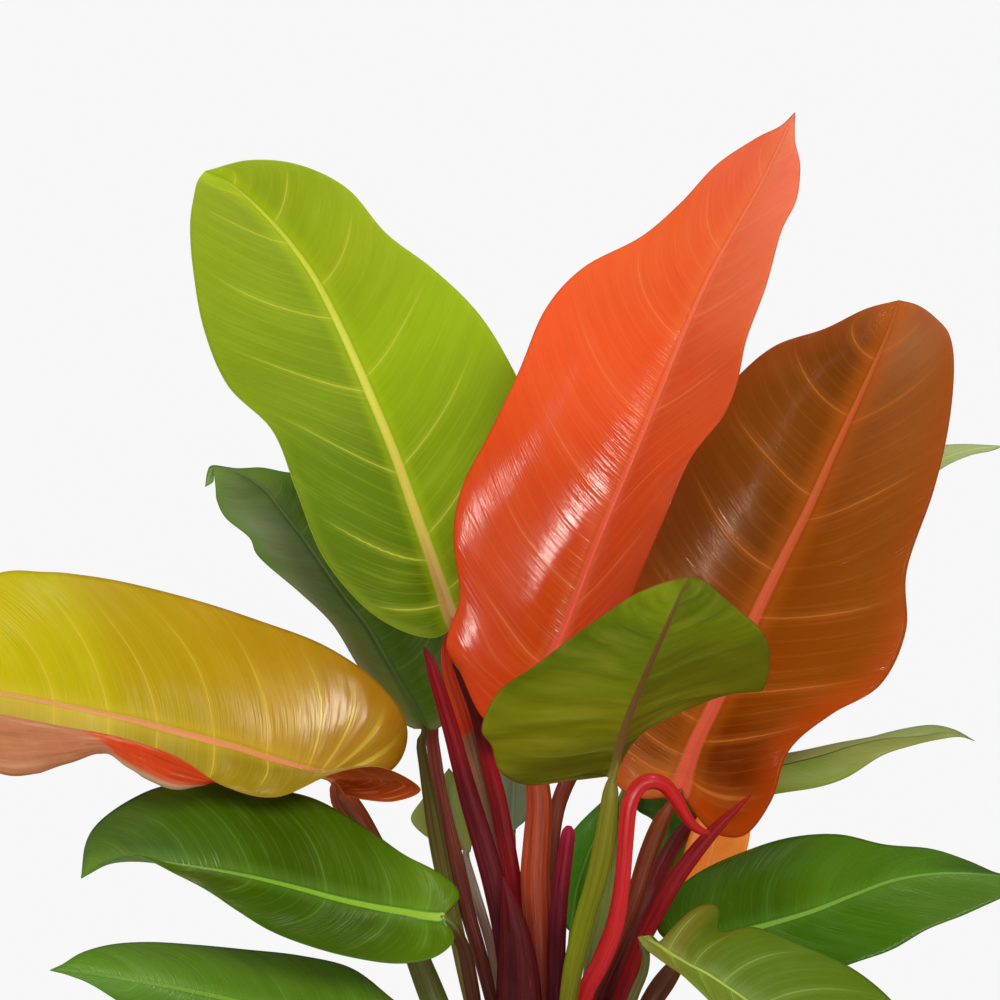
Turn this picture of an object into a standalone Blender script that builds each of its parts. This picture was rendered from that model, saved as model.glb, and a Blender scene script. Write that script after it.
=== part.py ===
"""Potted philodendron of the orange-leaved bush kind, in a plain clay pot.

Metres, +Z up, origin at the centre of the pot's underside, which stands on Z = 0.
The plant is a rosette: every leaf is a blade on its own petiole, and the petioles
leave one short crown that stands in the soil.  Young leaves come up orange-red at
the middle, turn copper and yellow, and end as the green leaves lower down.

Leaves and stems are laid out on a front elevation sheet.  Its grid unit is 0.4 mm
at the plant's own middle plane; u runs to the right and v runs down the sheet.  A
third number is the depth in millimetres, + to the back.  front() turns the three
into a point of the model, along sight lines from a point 1.8 m in front.
"""

import math

import bmesh
import bpy
import numpy as np
from mathutils import Vector

# ---------------------------------------------------------------- dimensions (m)
GRID = 0.0004            # one sheet unit at the middle plane
SHEET_TILT = math.radians(5.0)   # the sheet is seen from slightly above
SHEET_DISTANCE = 1.8     # from the viewing point to the middle plane
SHEET_CENTRE = (-0.018, 0.0, 0.437)   # the model point at u = v = 500

POT_HEIGHT = 0.160
POT_TOP_RADIUS = 0.086
POT_BAND_HEIGHT = 0.026
POT_BAND_STEP = 0.004
POT_BASE_RADIUS = 0.062
POT_WALL = 0.006
POT_FLOOR = 0.009
DRAIN_RADIUS = 0.0055
DRAIN_CIRCLE = 0.034
SOIL_TOP = 0.145
SOIL_GAP = 0.0004

CROWN_RADIUS = 0.019
CROWN_TOP = 0.186

BLADE_THICKNESS = 0.0009

# ---------------------------------------------------------------- leaf blades
# Each station, from the leaf's base to its tip, is one pair of lateral veins:
# midrib (u, v, depth), first edge (u, v, depth), second edge (u, v, depth).
# sweep: how far the veins bow toward the base, as a share of their length.
# bow:   how far a half blade bulges along its normal, as a share of its width.
LEAVES = {
    "blade_upper_left": dict(color=(0.33, 0.47, 0.02), sweep=0.045, bow=0.05, stations=[
        ((453, 621, 22), (451, 630, 21), (459, 622, 20)),
        ((451, 615, 22), (432, 638, 19), (478, 606, 17)),
        ((447, 604, 24), (400, 630, 18), (498, 575, 16)),
        ((440, 583, 27), (362, 605, 19), (514, 530, 17)),
        ((430, 554, 31), (322, 555, 21), (526, 470, 20)),
        ((414, 509, 36), (296, 490, 25), (526, 405, 25)),
        ((393, 450, 42), (272, 430, 30), (506, 356, 30)),
        ((366, 385, 48), (228, 386, 36), (475, 309, 36)),
        ((340, 327, 53), (204, 330, 41), (432, 268, 41)),
        ((314, 277, 57), (193, 270, 46), (386, 233, 45)),
        ((285, 237, 60), (190, 225, 51), (348, 189, 50)),
        ((255, 205, 62), (194, 195, 56), (300, 165, 54)),
        ((228, 182, 63), (198, 180, 60), (250, 160, 58)),
        ((205, 171, 63), (205, 171, 63), (205, 171, 63)),
    ]),
    "blade_centre": dict(color=(0.80, 0.10, 0.03), sweep=0.045, bow=0.06, stations=[
        ((517, 727, -12), (510, 731, -12), (524, 730, -13)),
        ((521, 718, -12), (482, 717, -10), (545, 720, -18)),
        ((528, 705, -12), (460, 672, -9), (570, 700, -22)),
        ((540, 680, -11), (446, 643, -9), (598, 668, -27)),
        ((556, 650, -10), (459, 597, -8), (620, 622, -32)),
        ((574, 607, -8), (453, 537, -7), (640, 575, -37)),
        ((595, 552, -6), (462, 487, -5), (663, 521, -41)),
        ((620, 492, -3), (491, 430, -2), (690, 460, -43)),
        ((645, 432, 0), (519, 371, 2), (723, 418, -43)),
        ((668, 375, 3), (545, 310, 6), (738, 383, -41)),
        ((690, 322, 6), (583, 268, 10), (747, 339, -37)),
        ((713, 272, 9), (640, 237, 14), (766, 286, -30)),
        ((737, 229, 12), (680, 203, 17), (781, 232, -20)),
        ((760, 188, 14), (716, 165, 18), (796, 200, -8)),
        ((779, 149, 15), (756, 138, 17), (800, 166, 3)),
        ((788, 128, 15), (780, 126, 15), (795, 140, 11)),
        ((795, 112, 15), (795, 112, 15), (795, 112, 15)),
    ]),
    "blade_right": dict(color=(0.36, 0.10, 0.012), sweep=0.045, bow=0.05, stations=[
        ((681, 791, 16), (667, 798, 15), (692, 806, 13)),
        ((682, 786, 16), (640, 798, 14), (712, 832, 8)),
        ((684, 778, 17), (618, 786, 14), (745, 835, 4)),
        ((688, 765, 18), (608, 758, 14), (772, 800, 3)),
        ((697, 741, 20), (602, 722, 14), (790, 750, 4)),
        ((712, 710, 23), (603, 680, 15), (832, 714, 7)),
        ((735, 662, 28), (611, 630, 18), (881, 684, 12)),
        ((757, 612, 33), (625, 575, 22), (906, 631, 18)),
        ((782, 561, 39), (645, 520, 27), (907, 570, 25)),
        ((808, 510, 45), (672, 466, 33), (933, 493, 31)),
        ((832, 457, 51), (700, 420, 39), (948, 430, 38)),
        ((853, 412, 56), (737, 377, 45), (954, 372, 45)),
        ((871, 373, 60), (775, 346, 51), (950, 336, 51)),
        ((884, 343, 63), (824, 329, 57), (935, 317, 57)),
        ((893, 320, 65), (865, 309, 62), (918, 305, 62)),
        ((899, 300, 66), (899, 300, 66), (899, 300, 66)),
    ]),
    "blade_left": dict(color=(0.55, 0.42, 0.03), sweep=0.045, bow=0.05, curl={
        # lowest bulge of the near half, where its edge turns up again (u, v, depth)
        7: (0, 6, -2), 8: (-4, 42, -7), 9: (-2, 36, -8), 10: (0, 26, -9), 11: (0, 44, -9), 12: (0, 67, -9), 13: (0, 50, -7), 14: (0, 16, -3)}, stations=[
        ((333, 779, 2), (349, 771, 8), (345, 795, -6)),
        ((331, 778, 2), (386, 773, 14), (366, 800, -12)),
        ((328, 777, 2), (405, 750, 20), (395, 801, -18)),
        ((324, 776, 1), (404, 716, 25), (420, 789, -23)),
        ((317, 774, 0), (373, 676, 30), (380, 768, -26)),
        ((302, 770, -2), (323, 643, 34), (332, 774, -27)),
        ((270, 760, -4), (258, 620, 36), (276, 796, -26)),
        ((228, 746, -7), (191, 599, 36), (226, 786, -27)),
        ((180, 733, -10), (123, 582, 34), (176, 756, -32)),
        ((134, 721, -13), (69, 574, 31), (127, 739, -37)),
        ((107, 715, -14), (41, 572.5, 30), (99, 732.5, -39)),
        ((70, 707, -15), (5, 572, 27), (62, 726, -40)),
        ((14, 696, -17), (-45, 587, 21), (4, 715, -38)),
        ((-38, 689, -18), (-82, 622, 10), (-46, 708, -32)),
        ((-80, 688, -18), (-104, 661, -4), (-86, 700, -25)),
        ((-112, 692, -18), (-112, 692, -18), (-112, 692, -18)),
    ]),
    "blade_back_left": dict(color=(0.06, 0.14, 0.02), sweep=0.045, bow=0.05, stations=[
        ((424, 728, 52), (414, 729, 51), (436, 730, 50)),
        ((421, 721, 53), (404, 723, 50), (450, 718, 47)),
        ((412, 704, 54), (384, 700, 49), (460, 690, 46)),
        ((393, 672, 57), (360, 668, 50), (456, 645, 48)),
        ((368, 629, 61), (333, 624, 53), (432, 590, 53)),
        ((345, 599, 65), (300, 592, 56), (400, 545, 57)),
        ((322, 566, 69), (267, 564.5, 60), (370, 507, 62)),
        ((311, 550, 70), (255.5, 552, 61), (355, 490, 64)),
        ((300, 535, 72), (249, 537, 63), (340, 479, 66)),
        ((283, 513, 75), (226, 518, 68), (311, 474, 69)),
        ((267, 492, 77), (217, 501, 71), (286, 472, 72)),
        ((247, 477, 78), (215.5, 488, 74), (261, 467.5, 75)),
        ((229, 470, 78), (214.5, 479, 76), (236, 468.5, 77)),
        ((214.5, 467.5, 78), (214, 475, 77), (213.5, 465, 78)),
        ((210, 475, 77), (213, 482, 76), (207.5, 471, 77)),
        ((205, 487, 76), (205, 487, 76), (205, 487, 76)),
    ]),
    "blade_low_left": dict(color=(0.05, 0.15, 0.01), sweep=0.045, bow=0.06, stations=[
        ((441, 917, -46), (449, 912, -42), (443, 923, -49)),
        ((438, 917, -46), (459, 898, -36), (454, 937, -53)),
        ((432, 917, -45), (454, 884, -30), (446, 950, -56)),
        ((422, 916, -44), (434, 869, -25), (426, 960, -58)),
        ((405, 913, -43), (404, 853, -20), (394, 963, -60)),
        ((375, 908, -42), (365, 825, -15), (353, 957, -61)),
        ((338, 900, -40), (315, 797, -11), (311, 946, -61)),
        ((297, 889, -39), (262, 786, -8), (271, 931, -60)),
        ((256, 879, -38), (212, 781, -7), (237, 911, -57)),
        ((215, 871, -38), (165, 786, -9), (206, 891, -54)),
        ((176, 865, -39), (130, 801, -14), (174, 875, -50)),
        ((140, 860, -41), (100, 823, -21), (136, 858, -49)),
        ((108, 863, -44), (86, 845, -32), (106, 863, -48)),
        ((81, 878, -47), (81, 878, -47), (81, 878, -47)),
    ]),
    "blade_lowest_left": dict(color=(0.12, 0.24, 0.02), sweep=0.045, bow=0.06, stations=[
        ((398, 1045, -62), (406, 1040, -58), (402, 1053, -66)),
        ((392, 1043, -62), (412, 1018, -50), (406, 1068, -72)),
        ((380, 1040, -62), (389, 996, -42), (393, 1081, -76)),
        ((355, 1033, -61), (351, 968, -34), (362, 1089, -79)),
        ((315, 1022, -61), (300, 956, -29), (318, 1083, -80)),
        ((270, 1010, -61), (245, 950, -28), (268, 1067, -79)),
        ((225, 999, -62), (195, 945, -30), (218, 1046, -77)),
        ((180, 989, -64), (150, 942, -36), (170, 1026, -74)),
        ((138, 981, -66), (112, 944, -45), (128, 1007, -72)),
        ((100, 975, -68), (82, 952, -56), (92, 985, -70)),
        ((72, 971, -69), (62, 964, -65), (68, 975, -70)),
        ((50, 970, -70), (50, 970, -70), (50, 970, -70)),
    ]),
    "blade_front": dict(color=(0.16, 0.22, 0.008), sweep=0.045, bow=0.07, stations=[
        ((613, 776, -57), (603, 777, -56), (619, 768, -57)),
        ((615, 768, -59), (570, 781, -54), (630, 748, -56)),
        ((617, 758, -63), (529, 785, -53), (650, 724, -57)),
        ((620, 745, -69), (500, 771, -56), (697, 707, -60)),
        ((625, 727, -77), (490, 741, -62), (740, 698, -66)),
        ((632, 707, -87), (480, 721, -72), (762, 695, -74)),
        ((641, 685, -98), (499, 688, -84), (770, 665, -86)),
        ((652, 659, -111), (540, 667, -100), (765, 636, -100)),
        ((663, 634, -123), (590, 626, -116), (740, 608, -115)),
        ((672, 613, -133), (627, 597, -129), (720, 590, -128)),
        ((680, 594, -141), (657, 583, -139), (706, 579, -138)),
        ((689, 576, -148), (689, 576, -148), (689, 576, -148)),
    ]),
    "blade_low_right": dict(color=(0.035, 0.12, 0.008), sweep=0.045, bow=0.06, stations=[
        ((688, 950, 0), (676, 948, 4), (692, 958, -4)),
        ((692, 948, 0), (657, 928, 10), (706, 973, -9)),
        ((702, 945, 0), (668, 898, 17), (735, 985, -14)),
        ((720, 940, -1), (700, 871, 24), (775, 987, -19)),
        ((748, 931, -2), (745, 851, 29), (815, 977, -23)),
        ((780, 922, -3), (790, 838, 33), (855, 963, -25)),
        ((815, 911, -4), (838, 835, 34), (892, 950, -25)),
        ((852, 896, -5), (884, 844, 32), (927, 930, -24)),
        ((892, 881, -7), (930, 847, 22), (962, 916, -22)),
        ((935, 874, -10), (966, 858, 12), (991, 903, -21)),
        ((975, 874, -13), (1000, 873, 2), (1014, 893, -20)),
        ((1015, 879, -16), (1027, 880, -7), (1034, 888, -19)),
        ((1048, 888, -19), (1048, 888, -19), (1048, 888, -19)),
    ]),
    "blade_lowest_right": dict(color=(0.13, 0.22, 0.015), sweep=0.04, bow=0.06, stations=[
        ((645, 936, -70), (653, 936, -67), (638, 937, -72)),
        ((652, 941, -70), (669, 949, -64), (645, 948, -74)),
        ((660, 947, -71), (676, 926, -54), (657, 957, -77)),
        ((668, 953, -72), (699, 906, -47), (669, 965, -79)),
        ((678, 959, -73), (719, 908, -43), (682, 974, -82)),
        ((690, 966, -74), (721, 931, -48), (697, 988, -85)),
        ((706, 974, -75), (755, 927, -47), (712, 1003, -88)),
        ((726, 987, -77), (800, 944, -45), (735, 1026, -92)),
        ((749, 1003, -80), (851, 968, -45), (762, 1048, -96)),
        ((776, 1024, -83), (891, 1000, -48), (795, 1070, -99)),
        ((806, 1047, -88), (916, 1036, -56), (830, 1092, -102)),
        ((838, 1072, -93), (932, 1070, -68), (866, 1110, -105)),
        ((870, 1096, -99), (932, 1099, -84), (893, 1120, -107)),
        ((908, 1123, -106), (908, 1123, -106), (908, 1123, -106)),
    ]),
    "blade_back_right": dict(color=(0.22, 0.36, 0.08), sweep=0.04, bow=0.05, small=True, stations=[
        ((735, 790, 72), (728, 785, 74), (738, 799, 69)),
        ((744, 782, 73), (736, 766, 80), (757, 797, 64)),
        ((764, 771, 74), (766, 757, 84), (785, 792.5, 62)),
        ((791, 763.5, 76), (802, 750, 88), (818, 787, 62)),
        ((820, 756.5, 79), (838, 742, 90), (848, 776.5, 66)),
        ((852, 746.5, 82), (873, 735.5, 92), (882, 755, 71)),
        ((885, 739.5, 85), (903, 728, 93), (912, 745, 78)),
        ((920, 737, 88), (932, 724.5, 93), (938, 739, 84)),
        ((950, 733.5, 90), (955, 729.5, 91), (960, 736.5, 89)),
        ((975, 741, 91), (975, 741, 91), (975, 741, 91)),
    ]),
    "blade_back_right_high": dict(color=(0.28, 0.45, 0.12), sweep=0.04, bow=0.05, small=True, stations=[
        ((745, 560, 101), (741, 551, 103), (752, 569, 99)),
        ((756, 556, 103), (750, 533, 108), (772, 580, 97)),
        ((785, 541, 106), (785, 504, 113), (812, 574, 97)),
        ((825, 521, 110), (835, 478, 118), (858, 553, 100)),
        ((870, 498, 114), (885, 459, 122), (902, 506, 107)),
        ((915, 474, 118), (927, 447, 125), (938, 471, 113)),
        ((952, 456, 121), (960, 444, 125), (968, 456, 118)),
        ((984, 448, 123), (988, 445, 124), (991, 451, 122)),
        ((1004, 446, 124), (1004, 446, 124), (1004, 446, 124)),
    ]),
}

# Small young leaves that stand among the stems; the same station tables.
LEAVES.update({
    "blade_young_orange": dict(color=(0.85, 0.22, 0.03), sweep=0.06, bow=0.10, small=True, stations=[
        ((690, 932, 46), (686, 930, 47), (694, 933, 45)),
        ((694, 915, 47), (678, 912, 45), (712, 915, 42)),
        ((702, 885, 49), (678, 880, 45), (733, 888, 42)),
        ((712, 850, 51), (686, 845, 47), (747, 850, 44)),
        ((721, 820, 52), (698, 815, 49), (751, 820, 47)),
        ((730, 792, 53), (714, 788, 52), (747, 792, 51)),
        ((738, 768, 54), (738, 768, 54), (738, 768, 54)),
    ]),
    "blade_inner_green": dict(color=(0.13, 0.30, 0.02), sweep=0.06, bow=0.10, small=True, stations=[
        ((572, 932, 26), (568, 930, 27), (576, 932, 25)),
        ((573, 918, 27), (556, 915, 25), (588, 914, 24)),
        ((577, 890, 29), (549, 882, 26), (600, 880, 25)),
        ((586, 860, 31), (560, 850, 28), (612, 852, 27)),
        ((598, 832, 33), (577, 826, 31), (618, 826, 30)),
        ((609, 808, 35), (598, 805, 34), (619, 806, 34)),
        ((618, 788, 36), (618, 788, 36), (618, 788, 36)),
    ]),
    "blade_inner_right": dict(color=(0.09, 0.24, 0.015), sweep=0.06, bow=0.08, small=True, stations=[
        ((655, 908, 73), (651, 906, 74), (659, 909, 72)),
        ((660, 894, 74), (649, 888, 73), (671, 893, 71)),
        ((669, 868, 76), (655, 862, 74), (692, 868, 72)),
        ((674, 845, 78), (660, 842, 76), (702, 842, 74)),
        ((671, 822, 80), (653, 821, 78), (698, 814, 76)),
        ((660, 802, 82), (636, 808, 81), (680, 792, 80)),
        ((644, 785, 83), (644, 785, 83), (644, 785, 83)),
    ]),
    "blade_inner_grey": dict(color=(0.16, 0.24, 0.10), sweep=0.06, bow=0.08, small=True, stations=[
        ((512, 830, 30), (508, 829, 31), (516, 829, 29)),
        ((512, 822, 31), (497, 818, 30), (530, 815, 28)),
        ((513, 796, 33), (492, 788, 31), (539, 788, 29)),
        ((516, 757, 35), (496, 750, 33), (541, 748, 31)),
        ((520, 720, 37), (504, 716, 35), (540, 712, 34)),
        ((525, 690, 39), (525, 690, 39), (525, 690, 39)),
    ]),
    "blade_inner_left": dict(color=(0.20, 0.30, 0.06), sweep=0.06, bow=0.08, small=True, stations=[
        ((466, 852, 54), (462, 850, 55), (470, 852, 53)),
        ((463, 843, 56), (444, 845, 58), (472, 842, 54)),
        ((458, 829, 57), (424, 835, 62), (473, 825, 55)),
        ((454, 813, 58), (411, 819, 64), (470, 804, 56)),
        ((451, 797, 58), (421, 801, 62), (463, 789, 56)),
        ((450, 782, 58), (437, 783, 60), (456, 777, 57)),
        ((449, 768, 58), (449, 768, 58), (449, 768, 58)),
    ]),
})

# Leaves on the far side and low down.  base (x, y, z), heading from +X toward +Y,
# rise at the base and droop along the blade in degrees, length and width in m.
ARCHED = {
    "blade_rear_left": dict(color=(0.06, 0.18, 0.015), base=(-0.044, 0.082, 0.352), heading=108, rise=66, droop=56, roll=0, length=0.180, width=0.068),
    "blade_rear": dict(color=(0.10, 0.24, 0.015), base=(0.010, 0.108, 0.345), heading=84, rise=60, droop=55, roll=0, length=0.205, width=0.086),
    "blade_rear_right": dict(color=(0.05, 0.16, 0.012), base=(0.052, 0.092, 0.330), heading=54, rise=58, droop=56, roll=0, length=0.185, width=0.080),
    "blade_low_rear_left": dict(color=(0.04, 0.13, 0.01), base=(-0.072, 0.074, 0.203), heading=138, rise=9, droop=52, roll=0, length=0.190, width=0.084),
    "blade_low_rear_right": dict(color=(0.04, 0.13, 0.01), base=(0.074, 0.080, 0.200), heading=44, rise=8, droop=52, roll=0, length=0.190, width=0.084),
    "blade_low_front": dict(color=(0.05, 0.15, 0.01), base=(0.028, -0.100, 0.208), heading=-68, rise=10, droop=62, roll=0, length=0.150, width=0.072),
}

# ---------------------------------------------------------------- petioles
# Points from the leaf down to the crown: sheet u, v, depth (mm), radius (mm).
PETIOLES = {
    "petiole_upper_left": dict(color=(0.35, 0.05, 0.02), points=[
        (454, 626, 24, 1.0), (449, 640, 27, 1.9), (447, 656, 25, 2.4), (451, 679, 21, 2.6), (458, 700, 17, 2.8), (465, 722, 14, 2.9),
        (475, 757, 11, 2.9), (486, 800, 9, 2.8), (496, 845, 8, 2.8), (508, 895, 8, 2.9), (514, 935, 8, 3.0), (523, 1000, 8, 3.1),
        (528, 1070, 7, 3.2), (531, 1106, 6, 3.1)]),
    "petiole_centre": dict(color=(0.33, 0.07, 0.03), points=[
        (519, 733, -12, 1.3), (524, 745, -11, 2.6), (533, 764, -10, 4.2), (539, 800, -10, 4.9), (537, 840, -11, 5.5),
        (535, 880, -11, 5.4), (538, 930, -11, 5.0), (542, 985, -10, 4.7), (544, 1040, -8, 4.5), (546, 1085, -6, 4.2), (546, 1106, -5, 3.8)]),
    "petiole_right": dict(color=(0.22, 0.04, 0.03), points=[
        (678, 797, 14, 1.2), (670, 807, 8, 2.2), (660, 824, 4, 3.1), (648, 854, 2, 3.4), (635, 896, 0, 3.4),
        (616, 945, 0, 3.4), (595, 992, 0, 3.4), (578, 1040, 1, 3.5), (568, 1085, 2, 3.4), (564, 1106, 2, 3.2)]),
    "petiole_left": dict(color=(0.22, 0.20, 0.04), points=[
        (335, 782, 3, 1.4), (337, 789, 7, 3.0), (344, 801, 9, 4.8), (359, 822, 8, 4.7), (377, 851, 7, 3.8), (394, 886, 5, 3.8), (409, 935, 2, 4.6),
        (428, 985, -1, 5.2), (450, 1040, -3, 5.0), (470, 1095, -3, 4.5), (485, 1155, -3, 3.8)]),
    "petiole_back_left": dict(color=(0.14, 0.11, 0.03), points=[
        (425, 732, 51, 1.3), (421, 743, 49, 2.0), (424, 765, 46, 2.3), (430, 800, 42, 2.9), (437, 840, 37, 3.2), (446, 885, 31, 3.2), (456, 930, 26, 3.0),
        (468, 985, 21, 3.0), (483, 1050, 17, 3.0), (495, 1110, 14, 2.9), (501, 1160, 13, 2.8)]),
    "petiole_low_left": dict(color=(0.13, 0.08, 0.03), points=[
        (445, 919, -45, 1.3), (453, 928, -41, 2.3), (464, 950, -35, 2.6), (472, 990, -29, 2.7), (480, 1040, -24, 2.7),
        (489, 1095, -18, 2.7), (498, 1155, -12, 2.6)]),
    "petiole_lowest_left": dict(color=(0.16, 0.18, 0.04), points=[
        (403, 1049, -61, 1.3), (416, 1056, -57, 2.3), (445, 1076, -48, 2.5), (478, 1105, -36, 2.6), (504, 1138, -25, 2.6),
        (515, 1168, -19, 2.5)]),
    "petiole_front": dict(color=(0.24, 0.26, 0.03), points=[
        (612, 780, -57, 1.6), (611, 791, -57, 2.9), (608, 815, -56, 3.3), (603, 850, -53, 3.7), (595, 885, -49, 3.8),
        (586, 915, -45, 3.9), (573, 970, -39, 3.8), (565, 1030, -33, 3.5), (561, 1095, -26, 3.2), (559, 1160, -22, 2.8)]),
    "petiole_low_right": dict(color=(0.17, 0.04, 0.02), points=[
        (685, 954, 0, 1.3), (678, 963, -2, 2.8), (665, 981, -6, 4.0), (651, 1002, -9, 4.2), (634, 1034, -11, 3.8), (616, 1075, -12, 3.1),
        (601, 1120, -11, 2.8), (594, 1160, -10, 2.6)]),
    "petiole_lowest_right": dict(color=(0.15, 0.14, 0.06), points=[
        (642, 941, -68, 1.1), (646, 953, -62, 1.8), (644, 972, -56, 2.1), (634, 996, -50, 2.2), (620, 1037, -44, 2.3), (606, 1080, -36, 2.4),
        (590, 1125, -26, 2.4), (580, 1162, -18, 2.4)]),
    "petiole_back_right": dict(color=(0.17, 0.03, 0.03), points=[
        (732, 796, 72, 1.2), (722, 802, 69, 2.2), (704, 813, 64, 2.8), (687, 828, 56, 3.2), (669, 854, 42, 3.5), (652, 890, 28, 3.5),
        (631, 935, 16, 3.5), (613, 985, 10, 3.4), (602, 1040, 7, 3.0), (598, 1100, 5, 2.8), (598, 1160, 5, 2.6)]),
    "petiole_back_right_high": dict(color=(0.17, 0.05, 0.03), points=[
        (741, 563, 101, 1.2), (722, 580, 96, 2.1), (680, 630, 84, 2.2), (630, 700, 68, 2.5), (585, 752, 50, 3.0),
        (561, 796, 31, 3.2), (553, 838, 19, 2.8), (549, 890, 16, 2.6), (549, 960, 16, 2.6), (552, 1040, 17, 2.6), (556, 1110, 20, 2.6), (558, 1160, 21, 2.5)]),
    "petiole_rear_left": dict(color=(0.30, 0.10, 0.07), points=[
        (446, 673, 81, 1.2), (441, 694, 74, 2.1), (432, 728, 64, 2.6), (435, 760, 57, 2.8), (442, 800, 48, 2.6), (451, 840, 40, 2.8), (458, 872, 35, 3.1),
        (467, 910, 31, 2.9), (484, 970, 26, 2.7), (502, 1040, 23, 2.7), (514, 1100, 21, 2.6), (519, 1160, 19, 2.5)]),
    "petiole_rear": dict(color=(0.15, 0.17, 0.04), points=[
        (569, 708, 106, 1.2), (557, 730, 92, 2.1), (541, 780, 68, 2.4), (536, 850, 48, 2.5), (532, 920, 37, 2.6),
        (531, 1000, 31, 2.6), (535, 1080, 26, 2.6), (539, 1160, 22, 2.5)]),
    "petiole_rear_right": dict(color=(0.15, 0.17, 0.04), points=[
        (664, 740, 91, 1.2), (646, 758, 87, 2.1), (624, 800, 76, 2.4), (612, 850, 60, 2.6), (605, 900, 47, 3.0),
        (592, 960, 36, 2.8), (583, 1040, 27, 2.6), (578, 1110, 21, 2.6), (576, 1160, 18, 2.5)]),
    "petiole_low_rear_left": dict(color=(0.12, 0.14, 0.03), points=[
        (374, 1038, 72, 1.2), (386, 1042, 66, 2.1), (412, 1054, 52, 2.4), (442, 1077, 36, 2.5), (466, 1108, 22, 2.6),
        (481, 1140, 12, 2.6), (490, 1172, 6, 2.5)]),
    "petiole_low_rear_right": dict(color=(0.12, 0.14, 0.03), points=[
        (720, 1046, 78, 1.2), (707, 1060, 72, 1.8), (680, 1068, 58, 2.3), (644, 1080, 42, 2.5), (618, 1110, 29, 2.6),
        (600, 1140, 19, 2.6), (590, 1172, 13, 2.5)]),
    "petiole_low_front": dict(color=(0.12, 0.14, 0.03), points=[
        (615, 1115, -98, 1.2), (610, 1104, -91, 2.1), (598, 1090, -76, 2.4), (580, 1094, -58, 2.5), (560, 1115, -42, 2.6),
        (545, 1145, -29, 2.6), (538, 1168, -22, 2.5)]),
    "petiole_young_orange": dict(color=(0.45, 0.10, 0.03), points=[
        (689, 937, 46, 1.0), (682, 950, 43, 1.7), (668, 975, 33, 2.0), (648, 1015, 20, 2.1), (628, 1060, 8, 2.1),
        (610, 1110, 0, 2.1), (600, 1160, -2, 2.0)]),
    "petiole_inner_green": dict(color=(0.25, 0.35, 0.10), points=[
        (572, 937, 26, 0.8), (571, 950, 24, 1.4), (569, 990, 18, 1.6), (568, 1040, 14, 1.7), (567, 1090, 11, 1.8), (566, 1112, 10, 1.8)]),
    "petiole_inner_right": dict(color=(0.13, 0.12, 0.04), points=[
        (652, 913, 72, 0.8), (648, 926, 66, 1.6), (638, 962, 52, 1.8), (622, 1005, 38, 1.9), (604, 1055, 26, 1.9), (586, 1100, 15, 1.9), (580, 1124, 11, 1.9)]),
    "petiole_inner_grey": dict(color=(0.13, 0.10, 0.05), points=[
        (512, 834, 30, 0.8), (512, 848, 27, 1.6), (512, 900, 21, 1.9), (516, 960, 17, 2.0), (521, 1030, 15, 2.0), (526, 1090, 13, 2.0), (528, 1116, 12, 2.0)]),
    "petiole_inner_left": dict(color=(0.20, 0.18, 0.08), points=[
        (466, 857, 54, 0.8), (468, 867, 50, 1.6), (474, 890, 43, 2.0), (482, 915, 34, 2.0), (492, 950, 26, 2.0), (502, 1000, 18, 2.0),
        (508, 1045, 12, 2.0), (513, 1085, 8, 2.0), (516, 1124, 7, 2.0)]),
}

# ------------------------------------------------- sheaths around young growth
# Flattened spears: sheet u, v, depth, half width and half depth in mm.
SHEATHS = {
    "sheath_front": dict(color=(0.10, 0.008, 0.012), points=[
        (503, 877, -27, 0.5, 0.5), (507, 893, -27, 2.6, 1.6), (511, 915, -26, 5.0, 2.4), (515, 945, -25, 7.6, 2.8), (517, 985, -23, 9.8, 3.0),
        (519, 1030, -21, 10.4, 3.0), (525, 1080, -18, 8.6, 2.6), (530, 1108, -16, 6.4, 2.2)]),
    "sheath_spear": dict(color=(0.22, 0.006, 0.015), points=[
        (424, 647, -6, 0.5, 0.4), (430, 661, -7, 2.0, 1.3), (437, 684, -9, 2.9, 2.0), (451, 731, -11, 3.6, 2.3), (459, 762, -12, 3.9, 2.4),
        (470, 802, -13, 4.5, 2.4), (482, 842, -15, 4.9, 2.4), (494, 885, -17, 5.1, 2.3), (503, 930, -18, 4.8, 2.1), (510, 985, -17, 4.4, 2.0),
        (517, 1050, -13, 4.0, 2.0), (525, 1110, -11, 3.4, 2.0)]),
    "sheath_left": dict(color=(0.32, 0.01, 0.01), points=[
        (453, 664, 14, 0.4, 0.4), (461, 680, 12, 1.3, 1.0), (470, 700, 9, 2.1, 1.4), (478, 722, 6, 2.7, 1.5), (487, 757, 3, 3.2, 1.7),
        (498, 802, 0, 3.7, 1.8), (507, 850, -1, 3.8, 1.9), (516, 893, -1, 3.2, 1.9), (522, 940, -1, 2.9, 1.8), (528, 1000, -1, 2.6, 1.7), (532, 1070, 0, 2.4, 1.6), (534, 1104, 0, 2.2, 1.5)]),
    "sheath_stub": dict(color=(0.22, 0.005, 0.03), points=[
        (569, 826, -24, 1.2, 1.0), (568, 834, -24, 2.9, 2.2), (564, 862, -24, 3.4, 2.5), (559, 900, -24, 3.7, 2.6), (556, 945, -23, 3.9, 2.6),
        (556, 1000, -21, 3.8, 2.6), (556, 1060, -18, 3.4, 2.4), (555, 1110, -15, 3.0, 2.1)]),
    "sheath_right": dict(color=(0.20, 0.01, 0.02), points=[
        (751, 795, -14, 0.4, 0.4), (739, 806, -15, 1.2, 1.0), (717, 827, -17, 2.6, 1.7), (696, 851, -18, 3.4, 2.1), (676, 878, -18, 3.8, 2.3), (658, 910, -18, 3.6, 2.4),
        (638, 950, -17, 3.4, 2.4), (622, 995, -15, 3.4, 2.4), (604, 1045, -13, 3.4, 2.3), (589, 1095, -11, 3.2, 2.2), (582, 1125, -10, 2.8, 2.0)]),
}

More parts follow.
